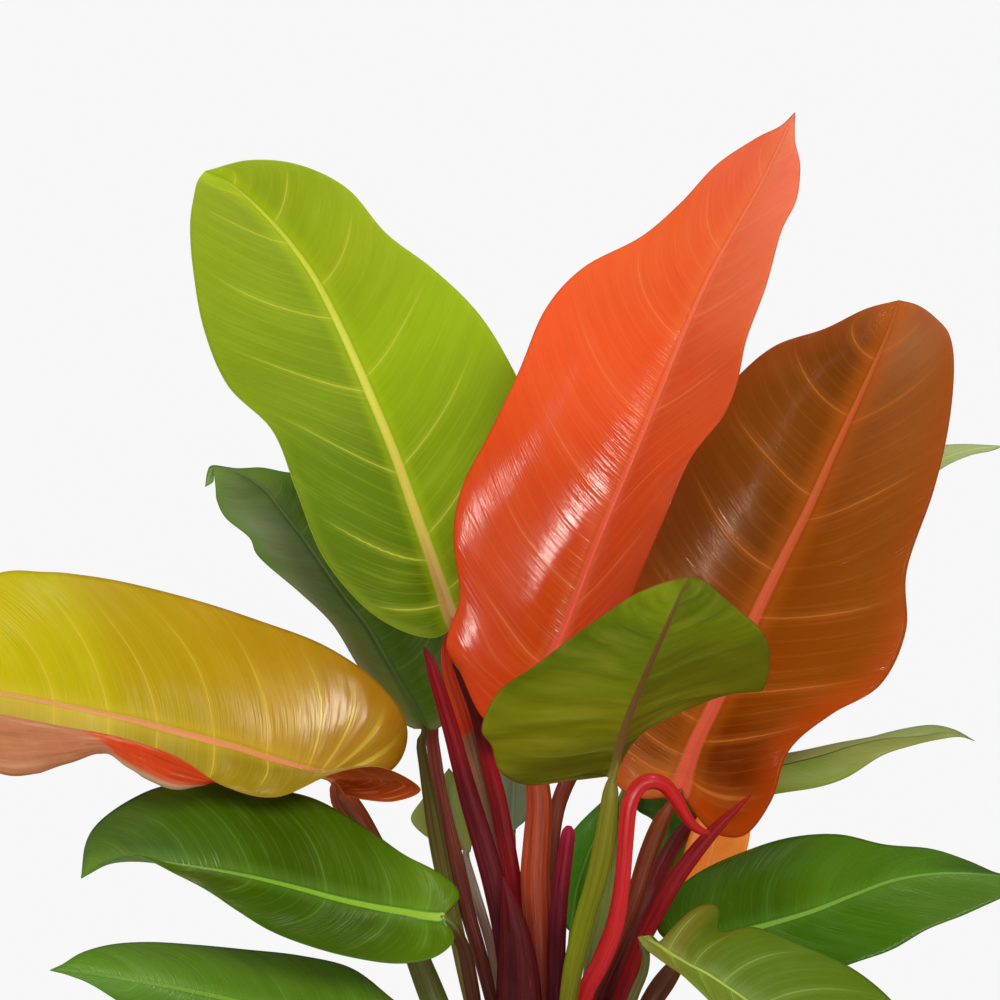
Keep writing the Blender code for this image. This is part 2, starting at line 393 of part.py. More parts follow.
# The curled red stipule that loops over in front of the right-hand leaf.
LOOP = dict(color=(0.75, 0.01, 0.015), points=[
    (709, 833, -26, 0.9), (699, 830, -28, 1.5), (689, 821, -31, 2.0), (680, 806, -34, 2.5), (673, 795, -36, 2.7), (664, 785, -38, 2.9),
    (653, 781, -40, 3.0), (642, 784, -41, 3.0), (633, 795, -42, 3.0), (628, 812, -42, 3.1), (625, 846, -41, 3.2), (622, 883, -39, 3.3),
    (615, 925, -35, 3.5), (602, 960, -31, 3.6), (584, 998, -28, 3.3), (577, 1050, -23, 2.9), (575, 1100, -19, 2.6), (573, 1128, -18, 2.4)])


# ---------------------------------------------------------------- geometry
def front(u, v, depth):
    """Model point on the sight line through (u, v) of the sheet at a depth in mm."""
    c, s = math.cos(SHEET_TILT), math.sin(SHEET_TILT)
    centre = np.array(SHEET_CENTRE)
    forward, up, right = np.array((0, c, -s)), np.array((0, s, c)), np.array((1.0, 0, 0))
    eye = centre - SHEET_DISTANCE * forward
    ray = forward + (right * (u - 500) + up * (500 - v)) * GRID / SHEET_DISTANCE
    return eye + ray * ((depth / 1000.0 - eye[1]) / ray[1])


def spline(points, at):
    """Catmull-Rom curve through the points, read at parameters 0 .. len - 1."""
    p = np.asarray(points, float)
    p = np.vstack([2 * p[0] - p[1], p, 2 * p[-1] - p[-2]])
    at = np.clip(np.asarray(at, float), 0, len(p) - 3 - 1e-9)
    i = at.astype(int)
    f = (at - i)[:, None]
    a, b, c, d = p[i], p[i + 1], p[i + 2], p[i + 3]
    return 0.5 * (2 * b + (c - a) * f + (2 * a - 5 * b + 4 * c - d) * f ** 2 + (3 * b - a - 3 * c + d) * f ** 3)


def unit(a):
    return a / np.maximum(np.linalg.norm(a, axis=-1, keepdims=True), 1e-12)


def blade_rows(mid, first, second, sweep, bow, curl_first, curl_second, params, across):
    """Rows of points over a blade: params along the midrib, across from -1 to 1."""
    m, a, b = spline(mid, params), spline(first, params), spline(second, params)
    ca, cb = spline(curl_first, params), spline(curl_second, params)
    along = unit(spline(mid, np.asarray(params) + 0.35) - spline(mid, np.asarray(params) - 0.35))
    normal = unit(np.cross(along, b - a))
    rows = []
    for t in across:
        edge, extra = (a, ca) if t < 0 else (b, cb)
        q = abs(t)
        half = edge - m
        width = np.linalg.norm(half, axis=1, keepdims=True)
        swing = 4 * q * (1 - q)
        rows.append(m + half * q + swing * (-along * width * sweep + normal * width * bow + extra))
    return np.stack(rows, axis=1)


def sheet_leaf(spec):
    """Midrib, two edges and two curl offsets (model metres) of a leaf from its stations."""
    mid, first, second, c1, c2 = [], [], [], [], []
    curl = spec.get("curl", {})
    for k, (m, a, b) in enumerate(spec["stations"]):
        mid.append(front(*m)); first.append(front(*a)); second.append(front(*b))
        c1.append((0, 0, 0))
        du, dv, dd = curl.get(k, (0, 0, 0))
        c2.append((du * GRID, dd / 1000.0, -dv * GRID))
    return [np.array(x, float) for x in (mid, first, second, c1, c2)]


def arched_leaf(spec, count=12):
    """The same five lists for a leaf given by its heading, rise, droop and size."""
    base = np.array(spec["base"], float)
    head = math.radians(spec["heading"])
    out = np.array((math.cos(head), math.sin(head), 0.0))
    side = np.array((-math.sin(head), math.cos(head), 0.0))
    length, half = spec["length"], spec["width"] / 2
    mid, first, second = [], [], []
    p = base.copy()
    last = 0.0
    for k in range(count + 1):
        s = k / count
        angle = math.radians(spec["rise"] - spec["droop"] * s ** 1.2)
        p = p + (s - last) * length * (out * math.cos(angle) + np.array((0, 0, math.sin(angle))))
        last = s
        up = np.array((0, 0, math.cos(angle))) - out * math.sin(angle)
        # half width: a heart-shaped base, widest at a third, drawn to a point
        w = half * (math.sin(math.pi * min(1.0, 0.08 + 0.92 * s) ** 0.72)) ** 0.75 if s < 1 else 0.0
        back = -0.10 * length * max(0.0, 1 - s / 0.18)
        fwd = 0.13 * length * math.sin(math.pi * s) ** 0.8 if 0 < s < 1 else 0.0
        shift = out * math.cos(angle) + np.array((0, 0, math.sin(angle)))
        lift = 0.16 * w
        mid.append(p.copy())
        first.append(p + side * w + shift * (fwd + back) + up * lift)
        second.append(p - side * w + shift * (fwd + back) + up * lift)
    zero = [(0, 0, 0)] * (count + 1)
    return [np.array(x, float) for x in (mid, first, second, zero, zero)]


# ---------------------------------------------------------------- objects
def clear_scene():
    for obj in list(bpy.data.objects):
        bpy.data.objects.remove(obj, do_unlink=True)


def collection(name):
    col = bpy.data.collections.new(name)
    bpy.context.scene.collection.children.link(col)
    return col


def material(name, color, roughness=0.35):
    mat = bpy.data.materials.new(name)
    mat.use_nodes = True
    bsdf = mat.node_tree.nodes["Principled BSDF"]
    bsdf.inputs["Base Color"].default_value = (*color, 1)
    bsdf.inputs["Roughness"].default_value = roughness
    bsdf.inputs["Metallic"].default_value = 0.0
    mat.diffuse_color = (*color, 1)
    return mat


def link(obj, col, mat):
    obj.data.materials.clear()
    obj.data.materials.append(mat)
    col.objects.link(obj)
    return obj


def grid_mesh(name, rows):
    """An open sheet from rows of points; its last row may close to one point."""
    mesh = bpy.data.meshes.new(name)
    bm = bmesh.new()
    grid = [[bm.verts.new(Vector(p)) for p in row] for row in rows]
    for i in range(len(grid) - 1):
        for j in range(len(grid[0]) - 1):
            bm.faces.new((grid[i][j], grid[i][j + 1], grid[i + 1][j + 1], grid[i + 1][j]))
    bmesh.ops.remove_doubles(bm, verts=bm.verts, dist=0.00005)
    bmesh.ops.recalc_face_normals(bm, faces=bm.faces)
    bm.to_mesh(mesh)
    bm.free()
    return mesh


# blades whose upper face lies on the positive side of their rows
FACE_UP = ("blade_left", "blade_low_left", "blade_lowest_left", "blade_front")


def make_blade(name, spec, lists, col):
    count = len(lists[0]) - 1
    small = spec.get("small", False)
    side = 1 if name in FACE_UP else -1
    steps = 7 if small else (12 if "curl" in spec else 11)
    across = (-1, -0.5, 0, 0.5, 1) if "curl" not in spec else (-1, -0.5, 0, 0.33, 0.67, 1)
    params = [count * (k / steps) for k in range(steps + 1)]
    rows = blade_rows(*lists[:3], spec.get("sweep", 0.1), spec.get("bow", 0.05) * side,
                      lists[3], lists[4], params, across)
    obj = bpy.data.objects.new(name, grid_mesh(name, rows))
    link(obj, col, material(name + "_leaf", spec["color"]))
    thick = obj.modifiers.new("thickness", "SOLIDIFY")
    thick.thickness = BLADE_THICKNESS
    thick.offset = 0.0
    thick.use_even_offset = False
    obj.data.shade_smooth()
    return obj


def make_stem(name, spec, col):
    pts = np.array([[*front(u, v, d), r] for u, v, d, r in spec["points"]])
    count = len(pts) - 1
    pts = spline(pts, [count * k / (count + 1) for k in range(count + 2)])
    pts[0, :3] += 0.0008 * unit(pts[1, :3] - pts[0, :3])   # clear of the blade it carries
    curve = bpy.data.curves.new(name, "CURVE")
    curve.dimensions = "3D"
    curve.bevel_depth = 0.001
    curve.bevel_resolution = 2
    curve.use_fill_caps = True
    sp = curve.splines.new("POLY")
    sp.points.add(len(pts) - 1)
    for p, q in zip(sp.points, pts):
        p.co = (*q[:3], 1)
        p.radius = float(q[3])
    obj = bpy.data.objects.new(name, curve)
    return link(obj, col, material(name + "_stem", spec["color"]))


def make_sheath(name, spec, col, sides=8):
    """A flattened spear: an elliptical section that changes along its line."""
    data = np.array([[*front(u, v, d), rw, rd] for u, v, d, rw, rd in spec["points"]])
    centre = data[:, :3]
    along = unit(np.gradient(centre, axis=0))
    back = np.array((0.0, 1.0, 0.0))
    wide = unit(np.cross(along, back))
    deep = unit(np.cross(wide, along))
    mesh = bpy.data.meshes.new(name)
    bm = bmesh.new()
    rings = []
    for k in range(len(data)):
        ring = []
        for i in range(sides):
            a = 2 * math.pi * i / sides
            ring.append(bm.verts.new(Vector(centre[k] + wide[k] * data[k, 3] / 1000 * math.cos(a)
                                            + deep[k] * data[k, 4] / 1000 * math.sin(a))))
        rings.append(ring)
    for lower, upper in zip(rings, rings[1:]):
        for i in range(sides):
            j = (i + 1) % sides
            bm.faces.new((lower[i], lower[j], upper[j], upper[i]))
    bm.faces.new(rings[0])
    bm.faces.new(rings[-1])
    bmesh.ops.recalc_face_normals(bm, faces=bm.faces)
    bm.to_mesh(mesh)
    bm.free()
    obj = bpy.data.objects.new(name, mesh)
    link(obj, col, material(name + "_skin", spec["color"]))
    mesh.shade_smooth()
    return obj


def turned(name, profile, col, mat, steps=40):
    """A profile (radius, height) turned about Z; it runs down the outer side."""
    mesh = bpy.data.meshes.new(name)
    mesh.from_pydata([(r, 0, z) for r, z in profile], [(i, i + 1) for i in range(len(profile) - 1)], [])
    obj = bpy.data.objects.new(name, mesh)
    link(obj, col, mat)
    screw = obj.modifiers.new("turn", "SCREW")
    screw.steps = steps
    screw.render_steps = steps
    screw.axis = "Z"
    screw.use_merge_vertices = True
    screw.merge_threshold = 0.00005
    screw.use_smooth_shade = True
    return obj


def pot_radius(z):
    """Outer radius of the tapered wall at a height."""
    return POT_BASE_RADIUS + (POT_TOP_RADIUS - POT_BAND_STEP - POT_BASE_RADIUS) * z / POT_HEIGHT


def build():
    clear_scene()
    parts = collection("potted_philodendron")
    tools = collection("cutters")

    clay = material("clay", (0.58, 0.27, 0.15), 0.8)
    band = POT_HEIGHT - POT_BAND_HEIGHT
    inner_top = POT_TOP_RADIUS - POT_BAND_STEP - POT_WALL
    inner_low = pot_radius(POT_FLOOR) - POT_WALL
    pot = turned("pot", [
        (POT_TOP_RADIUS - 0.003, POT_HEIGHT), (POT_TOP_RADIUS, POT_HEIGHT - 0.003), (POT_TOP_RADIUS - 0.001, band + 0.002),
        (POT_TOP_RADIUS - 0.003, band), (pot_radius(band), band - 0.0015), (pot_radius(0.003), 0.003), (POT_BASE_RADIUS - 0.003, 0.0),
        (0.0, 0.0)], parts, clay)
    # the inner wall is the second half of the same profile, from the floor back to the rim
    mesh = pot.data
    mesh.clear_geometry()
    outline = [(0.0, POT_FLOOR), (inner_low - 0.004, POT_FLOOR), (inner_low, POT_FLOOR + 0.004), (inner_top, POT_HEIGHT - 0.002),
               (inner_top + 0.002, POT_HEIGHT), (POT_TOP_RADIUS - 0.003, POT_HEIGHT), (POT_TOP_RADIUS, POT_HEIGHT - 0.003),
               (POT_TOP_RADIUS - 0.001, band + 0.002), (POT_TOP_RADIUS - 0.003, band), (pot_radius(band), band - 0.0015),
               (pot_radius(0.003), 0.003), (POT_BASE_RADIUS - 0.003, 0.0), (0.0, 0.0)]
    mesh.from_pydata([(r, 0, z) for r, z in outline], [(i, i + 1) for i in range(len(outline) - 1)], [])
    for k in range(3):
        bpy.ops.mesh.primitive_cylinder_add(vertices=16, radius=DRAIN_RADIUS, depth=0.04)
        cutter = bpy.context.object
        cutter.name = f"drain_cutter_{k + 1}"
        a = math.radians(90 + 120 * k)
        cutter.location = (DRAIN_CIRCLE * math.cos(a), DRAIN_CIRCLE * math.sin(a), 0.004)
        for owner in list(cutter.users_collection):
            owner.objects.unlink(cutter)
        tools.objects.link(cutter)
        cutter.hide_render = True
        cutter.display_type = "WIRE"
        hole = pot.modifiers.new(f"drain_{k + 1}", "BOOLEAN")
        hole.operation = "DIFFERENCE"
        hole.solver = "EXACT"
        hole.object = cutter

    soil_mat = material("soil", (0.03, 0.018, 0.01), 0.95)
    floor = POT_FLOOR + SOIL_GAP

    def inside(z):
        f = (z - POT_FLOOR - 0.004) / (POT_HEIGHT - 0.002 - POT_FLOOR - 0.004)
        return inner_low + (inner_top - inner_low) * f - SOIL_GAP

    # the potting mix has a hollow where the crown and its root stub sit
    turned("soil", [
        (0.0, SOIL_TOP - 0.012), (CROWN_RADIUS + 0.0005, SOIL_TOP - 0.012), (CROWN_RADIUS + 0.0005, SOIL_TOP + 0.0012),
        (0.045, SOIL_TOP + 0.002), (inside(SOIL_TOP) - 0.004, SOIL_TOP),
        (inside(SOIL_TOP - 0.004), SOIL_TOP - 0.004), (inside(POT_FLOOR + 0.0045), POT_FLOOR + 0.0055),
        (inner_low - 0.0045 - SOIL_GAP, floor), (0.0, floor)], parts, soil_mat, steps=32)

    turned("crown", [
        (0.0, CROWN_TOP), (0.004, CROWN_TOP - 0.0006), (0.0085, CROWN_TOP - 0.0045), (0.013, 0.1755), (0.0165, 0.168), (0.0185, 0.158),
        (CROWN_RADIUS, 0.148), (CROWN_RADIUS, SOIL_TOP - 0.010), (CROWN_RADIUS - 0.001, SOIL_TOP - 0.0117), (0.0, SOIL_TOP - 0.0117)],
        parts, material("crown_skin", (0.18, 0.10, 0.04), 0.6), steps=20)

    for name, spec in LEAVES.items():
        make_blade(name, spec, sheet_leaf(spec), parts)
    for name, spec in ARCHED.items():
        make_blade(name, spec, arched_leaf(spec), parts)
    for name, spec in PETIOLES.items():
        make_stem(name, spec, parts)
    for name, spec in SHEATHS.items():
        make_sheath(name, spec, parts)
    make_stem("stipule_loop", LOOP, parts)


build()
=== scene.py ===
"""Looks of the potted philodendron: fine blades, petioles, sheaths, crown, potting mix and pot."""
import math

import bmesh
import bpy
import numpy as np
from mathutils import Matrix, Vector


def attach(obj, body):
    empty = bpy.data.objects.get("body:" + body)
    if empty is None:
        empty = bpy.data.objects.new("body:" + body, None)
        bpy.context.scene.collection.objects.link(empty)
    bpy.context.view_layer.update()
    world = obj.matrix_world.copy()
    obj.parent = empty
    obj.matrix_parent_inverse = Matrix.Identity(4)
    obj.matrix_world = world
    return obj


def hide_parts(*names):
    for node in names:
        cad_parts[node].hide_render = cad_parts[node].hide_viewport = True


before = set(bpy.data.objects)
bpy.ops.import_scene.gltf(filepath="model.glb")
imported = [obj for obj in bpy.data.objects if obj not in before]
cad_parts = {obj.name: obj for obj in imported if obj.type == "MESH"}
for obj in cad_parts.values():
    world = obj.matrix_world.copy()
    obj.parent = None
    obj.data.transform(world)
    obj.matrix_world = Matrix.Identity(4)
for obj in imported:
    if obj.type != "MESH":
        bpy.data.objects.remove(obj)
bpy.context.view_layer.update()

# The layout sheet of the construction: 0.4 mm grid, seen from 1.8 m and 5 degrees above.
GRID = 0.0004
SHEET_TILT = math.radians(5.0)
SHEET_DISTANCE = 1.8
SHEET_CENTRE = (-0.018, 0.0, 0.437)

POT_HEIGHT = 0.160
POT_TOP_RADIUS = 0.086
POT_BAND_HEIGHT = 0.026
POT_BAND_STEP = 0.004
POT_BASE_RADIUS = 0.062
POT_WALL = 0.006
POT_FLOOR = 0.009
DRAIN_RADIUS = 0.0055
DRAIN_CIRCLE = 0.034
SOIL_TOP = 0.145
CROWN_RADIUS = 0.019
CROWN_TOP = 0.186


# ---------------------------------------------------------------- leaf blades
# Each station, from the leaf's base to its tip, is one pair of lateral veins:
# midrib (u, v, depth), first edge (u, v, depth), second edge (u, v, depth).
# sweep: how far the veins bow toward the base, as a share of their length.
# bow:   how far a half blade bulges along its normal, as a share of its width.
LEAVES = {
    "blade_upper_left": dict(color=(0.33, 0.47, 0.02), sweep=0.045, bow=0.05, stations=[
        ((453, 621, 22), (451, 630, 21), (459, 622, 20)),
        ((451, 615, 22), (432, 638, 19), (478, 606, 17)),
        ((447, 604, 24), (400, 630, 18), (498, 575, 16)),
        ((440, 583, 27), (362, 605, 19), (514, 530, 17)),
        ((430, 554, 31), (322, 555, 21), (526, 470, 20)),
        ((414, 509, 36), (296, 490, 25), (526, 405, 25)),
        ((393, 450, 42), (272, 430, 30), (506, 356, 30)),
        ((366, 385, 48), (228, 386, 36), (475, 309, 36)),
        ((340, 327, 53), (204, 330, 41), (432, 268, 41)),
        ((314, 277, 57), (193, 270, 46), (386, 233, 45)),
        ((285, 237, 60), (190, 225, 51), (348, 189, 50)),
        ((255, 205, 62), (194, 195, 56), (300, 165, 54)),
        ((228, 182, 63), (198, 180, 60), (250, 160, 58)),
        ((205, 171, 63), (205, 171, 63), (205, 171, 63)),
    ]),
    "blade_centre": dict(color=(0.80, 0.10, 0.03), sweep=0.045, bow=0.06, stations=[
        ((517, 727, -12), (510, 731, -12), (524, 730, -13)),
        ((521, 718, -12), (482, 717, -10), (545, 720, -18)),
        ((528, 705, -12), (460, 672, -9), (570, 700, -22)),
        ((540, 680, -11), (446, 643, -9), (598, 668, -27)),
        ((556, 650, -10), (459, 597, -8), (620, 622, -32)),
        ((574, 607, -8), (453, 537, -7), (640, 575, -37)),
        ((595, 552, -6), (462, 487, -5), (663, 521, -41)),
        ((620, 492, -3), (491, 430, -2), (690, 460, -43)),
        ((645, 432, 0), (519, 371, 2), (723, 418, -43)),
        ((668, 375, 3), (545, 310, 6), (738, 383, -41)),
        ((690, 322, 6), (583, 268, 10), (747, 339, -37)),
        ((713, 272, 9), (640, 237, 14), (766, 286, -30)),
        ((737, 229, 12), (680, 203, 17), (781, 232, -20)),
        ((760, 188, 14), (716, 165, 18), (796, 200, -8)),
        ((779, 149, 15), (756, 138, 17), (800, 166, 3)),
        ((788, 128, 15), (780, 126, 15), (795, 140, 11)),
        ((795, 112, 15), (795, 112, 15), (795, 112, 15)),
    ]),
    "blade_right": dict(color=(0.36, 0.10, 0.012), sweep=0.045, bow=0.05, stations=[
        ((681, 791, 16), (667, 798, 15), (692, 806, 13)),
        ((682, 786, 16), (640, 798, 14), (712, 832, 8)),
        ((684, 778, 17), (618, 786, 14), (745, 835, 4)),
        ((688, 765, 18), (608, 758, 14), (772, 800, 3)),
        ((697, 741, 20), (602, 722, 14), (790, 750, 4)),
        ((712, 710, 23), (603, 680, 15), (832, 714, 7)),
        ((735, 662, 28), (611, 630, 18), (881, 684, 12)),
        ((757, 612, 33), (625, 575, 22), (906, 631, 18)),
        ((782, 561, 39), (645, 520, 27), (907, 570, 25)),
        ((808, 510, 45), (672, 466, 33), (933, 493, 31)),
        ((832, 457, 51), (700, 420, 39), (948, 430, 38)),
        ((853, 412, 56), (737, 377, 45), (954, 372, 45)),
        ((871, 373, 60), (775, 346, 51), (950, 336, 51)),
        ((884, 343, 63), (824, 329, 57), (935, 317, 57)),
        ((893, 320, 65), (865, 309, 62), (918, 305, 62)),
        ((899, 300, 66), (899, 300, 66), (899, 300, 66)),
    ]),
    "blade_left": dict(color=(0.55, 0.42, 0.03), sweep=0.045, bow=0.05, curl={
        # lowest bulge of the near half, where its edge turns up again (u, v, depth)
        7: (0, 6, -2), 8: (-4, 42, -7), 9: (-2, 36, -8), 10: (0, 26, -9), 11: (0, 44, -9), 12: (0, 67, -9), 13: (0, 50, -7), 14: (0, 16, -3)}, stations=[
        ((333, 779, 2), (349, 771, 8), (345, 795, -6)),
        ((331, 778, 2), (386, 773, 14), (366, 800, -12)),
        ((328, 777, 2), (405, 750, 20), (395, 801, -18)),
        ((324, 776, 1), (404, 716, 25), (420, 789, -23)),
        ((317, 774, 0), (373, 676, 30), (380, 768, -26)),
        ((302, 770, -2), (323, 643, 34), (332, 774, -27)),
        ((270, 760, -4), (258, 620, 36), (276, 796, -26)),
        ((228, 746, -7), (191, 599, 36), (226, 786, -27)),
        ((180, 733, -10), (123, 582, 34), (176, 756, -32)),
        ((134, 721, -13), (69, 574, 31), (127, 739, -37)),
        ((107, 715, -14), (41, 572.5, 30), (99, 732.5, -39)),
        ((70, 707, -15), (5, 572, 27), (62, 726, -40)),
        ((14, 696, -17), (-45, 587, 21), (4, 715, -38)),
        ((-38, 689, -18), (-82, 622, 10), (-46, 708, -32)),
        ((-80, 688, -18), (-104, 661, -4), (-86, 700, -25)),
        ((-112, 692, -18), (-112, 692, -18), (-112, 692, -18)),
    ]),
    "blade_back_left": dict(color=(0.06, 0.14, 0.02), sweep=0.045, bow=0.05, stations=[
        ((424, 728, 52), (414, 729, 51), (436, 730, 50)),
        ((421, 721, 53), (404, 723, 50), (450, 718, 47)),
        ((412, 704, 54), (384, 700, 49), (460, 690, 46)),
        ((393, 672, 57), (360, 668, 50), (456, 645, 48)),
        ((368, 629, 61), (333, 624, 53), (432, 590, 53)),
        ((345, 599, 65), (300, 592, 56), (400, 545, 57)),
        ((322, 566, 69), (267, 564.5, 60), (370, 507, 62)),
        ((311, 550, 70), (255.5, 552, 61), (355, 490, 64)),
        ((300, 535, 72), (249, 537, 63), (340, 479, 66)),
        ((283, 513, 75), (226, 518, 68), (311, 474, 69)),
        ((267, 492, 77), (217, 501, 71), (286, 472, 72)),
        ((247, 477, 78), (215.5, 488, 74), (261, 467.5, 75)),
        ((229, 470, 78), (214.5, 479, 76), (236, 468.5, 77)),
        ((214.5, 467.5, 78), (214, 475, 77), (213.5, 465, 78)),
        ((210, 475, 77), (213, 482, 76), (207.5, 471, 77)),
        ((205, 487, 76), (205, 487, 76), (205, 487, 76)),
    ]),
    "blade_low_left": dict(color=(0.05, 0.15, 0.01), sweep=0.045, bow=0.06, stations=[
        ((441, 917, -46), (449, 912, -42), (443, 923, -49)),
        ((438, 917, -46), (459, 898, -36), (454, 937, -53)),
        ((432, 917, -45), (454, 884, -30), (446, 950, -56)),
        ((422, 916, -44), (434, 869, -25), (426, 960, -58)),
        ((405, 913, -43), (404, 853, -20), (394, 963, -60)),
        ((375, 908, -42), (365, 825, -15), (353, 957, -61)),
        ((338, 900, -40), (315, 797, -11), (311, 946, -61)),
        ((297, 889, -39), (262, 786, -8), (271, 931, -60)),
        ((256, 879, -38), (212, 781, -7), (237, 911, -57)),
        ((215, 871, -38), (165, 786, -9), (206, 891, -54)),
        ((176, 865, -39), (130, 801, -14), (174, 875, -50)),
        ((140, 860, -41), (100, 823, -21), (136, 858, -49)),
        ((108, 863, -44), (86, 845, -32), (106, 863, -48)),
        ((81, 878, -47), (81, 878, -47), (81, 878, -47)),
    ]),
    "blade_lowest_left": dict(color=(0.12, 0.24, 0.02), sweep=0.045, bow=0.06, stations=[
        ((398, 1045, -62), (406, 1040, -58), (402, 1053, -66)),
        ((392, 1043, -62), (412, 1018, -50), (406, 1068, -72)),
        ((380, 1040, -62), (389, 996, -42), (393, 1081, -76)),
        ((355, 1033, -61), (351, 968, -34), (362, 1089, -79)),
        ((315, 1022, -61), (300, 956, -29), (318, 1083, -80)),
        ((270, 1010, -61), (245, 950, -28), (268, 1067, -79)),
        ((225, 999, -62), (195, 945, -30), (218, 1046, -77)),
        ((180, 989, -64), (150, 942, -36), (170, 1026, -74)),
        ((138, 981, -66), (112, 944, -45), (128, 1007, -72)),
        ((100, 975, -68), (82, 952, -56), (92, 985, -70)),
        ((72, 971, -69), (62, 964, -65), (68, 975, -70)),
        ((50, 970, -70), (50, 970, -70), (50, 970, -70)),
    ]),
    "blade_front": dict(color=(0.16, 0.22, 0.008), sweep=0.045, bow=0.07, stations=[
        ((613, 776, -57), (603, 777, -56), (619, 768, -57)),
        ((615, 768, -59), (570, 781, -54), (630, 748, -56)),
        ((617, 758, -63), (529, 785, -53), (650, 724, -57)),
        ((620, 745, -69), (500, 771, -56), (697, 707, -60)),
        ((625, 727, -77), (490, 741, -62), (740, 698, -66)),
        ((632, 707, -87), (480, 721, -72), (762, 695, -74)),
        ((641, 685, -98), (499, 688, -84), (770, 665, -86)),
        ((652, 659, -111), (540, 667, -100), (765, 636, -100)),
        ((663, 634, -123), (590, 626, -116), (740, 608, -115)),
        ((672, 613, -133), (627, 597, -129), (720, 590, -128)),
        ((680, 594, -141), (657, 583, -139), (706, 579, -138)),
        ((689, 576, -148), (689, 576, -148), (689, 576, -148)),
    ]),
    "blade_low_right": dict(color=(0.035, 0.12, 0.008), sweep=0.045, bow=0.06, stations=[
        ((688, 950, 0), (676, 948, 4), (692, 958, -4)),
        ((692, 948, 0), (657, 928, 10), (706, 973, -9)),
        ((702, 945, 0), (668, 898, 17), (735, 985, -14)),
        ((720, 940, -1), (700, 871, 24), (775, 987, -19)),
        ((748, 931, -2), (745, 851, 29), (815, 977, -23)),
        ((780, 922, -3), (790, 838, 33), (855, 963, -25)),
        ((815, 911, -4), (838, 835, 34), (892, 950, -25)),
        ((852, 896, -5), (884, 844, 32), (927, 930, -24)),
        ((892, 881, -7), (930, 847, 22), (962, 916, -22)),
        ((935, 874, -10), (966, 858, 12), (991, 903, -21)),
        ((975, 874, -13), (1000, 873, 2), (1014, 893, -20)),
        ((1015, 879, -16), (1027, 880, -7), (1034, 888, -19)),
        ((1048, 888, -19), (1048, 888, -19), (1048, 888, -19)),
    ]),
    "blade_lowest_right": dict(color=(0.13, 0.22, 0.015), sweep=0.04, bow=0.06, stations=[
        ((645, 936, -70), (653, 936, -67), (638, 937, -72)),
        ((652, 941, -70), (669, 949, -64), (645, 948, -74)),
        ((660, 947, -71), (676, 926, -54), (657, 957, -77)),
        ((668, 953, -72), (699, 906, -47), (669, 965, -79)),
        ((678, 959, -73), (719, 908, -43), (682, 974, -82)),
        ((690, 966, -74), (721, 931, -48), (697, 988, -85)),
        ((706, 974, -75), (755, 927, -47), (712, 1003, -88)),
        ((726, 987, -77), (800, 944, -45), (735, 1026, -92)),
        ((749, 1003, -80), (851, 968, -45), (762, 1048, -96)),
        ((776, 1024, -83), (891, 1000, -48), (795, 1070, -99)),
        ((806, 1047, -88), (916, 1036, -56), (830, 1092, -102)),
        ((838, 1072, -93), (932, 1070, -68), (866, 1110, -105)),
        ((870, 1096, -99), (932, 1099, -84), (893, 1120, -107)),
        ((908, 1123, -106), (908, 1123, -106), (908, 1123, -106)),
    ]),
    "blade_back_right": dict(color=(0.22, 0.36, 0.08), sweep=0.04, bow=0.05, small=True, stations=[
        ((735, 790, 72), (728, 785, 74), (738, 799, 69)),
        ((744, 782, 73), (736, 766, 80), (757, 797, 64)),
        ((764, 771, 74), (766, 757, 84), (785, 792.5, 62)),
        ((791, 763.5, 76), (802, 750, 88), (818, 787, 62)),
        ((820, 756.5, 79), (838, 742, 90), (848, 776.5, 66)),
        ((852, 746.5, 82), (873, 735.5, 92), (882, 755, 71)),
        ((885, 739.5, 85), (903, 728, 93), (912, 745, 78)),
        ((920, 737, 88), (932, 724.5, 93), (938, 739, 84)),
        ((950, 733.5, 90), (955, 729.5, 91), (960, 736.5, 89)),
        ((975, 741, 91), (975, 741, 91), (975, 741, 91)),
    ]),
    "blade_back_right_high": dict(color=(0.28, 0.45, 0.12), sweep=0.04, bow=0.05, small=True, stations=[
        ((745, 560, 101), (741, 551, 103), (752, 569, 99)),
        ((756, 556, 103), (750, 533, 108), (772, 580, 97)),
        ((785, 541, 106), (785, 504, 113), (812, 574, 97)),
        ((825, 521, 110), (835, 478, 118), (858, 553, 100)),
        ((870, 498, 114), (885, 459, 122), (902, 506, 107)),
        ((915, 474, 118), (927, 447, 125), (938, 471, 113)),
        ((952, 456, 121), (960, 444, 125), (968, 456, 118)),
        ((984, 448, 123), (988, 445, 124), (991, 451, 122)),
        ((1004, 446, 124), (1004, 446, 124), (1004, 446, 124)),
    ]),
}

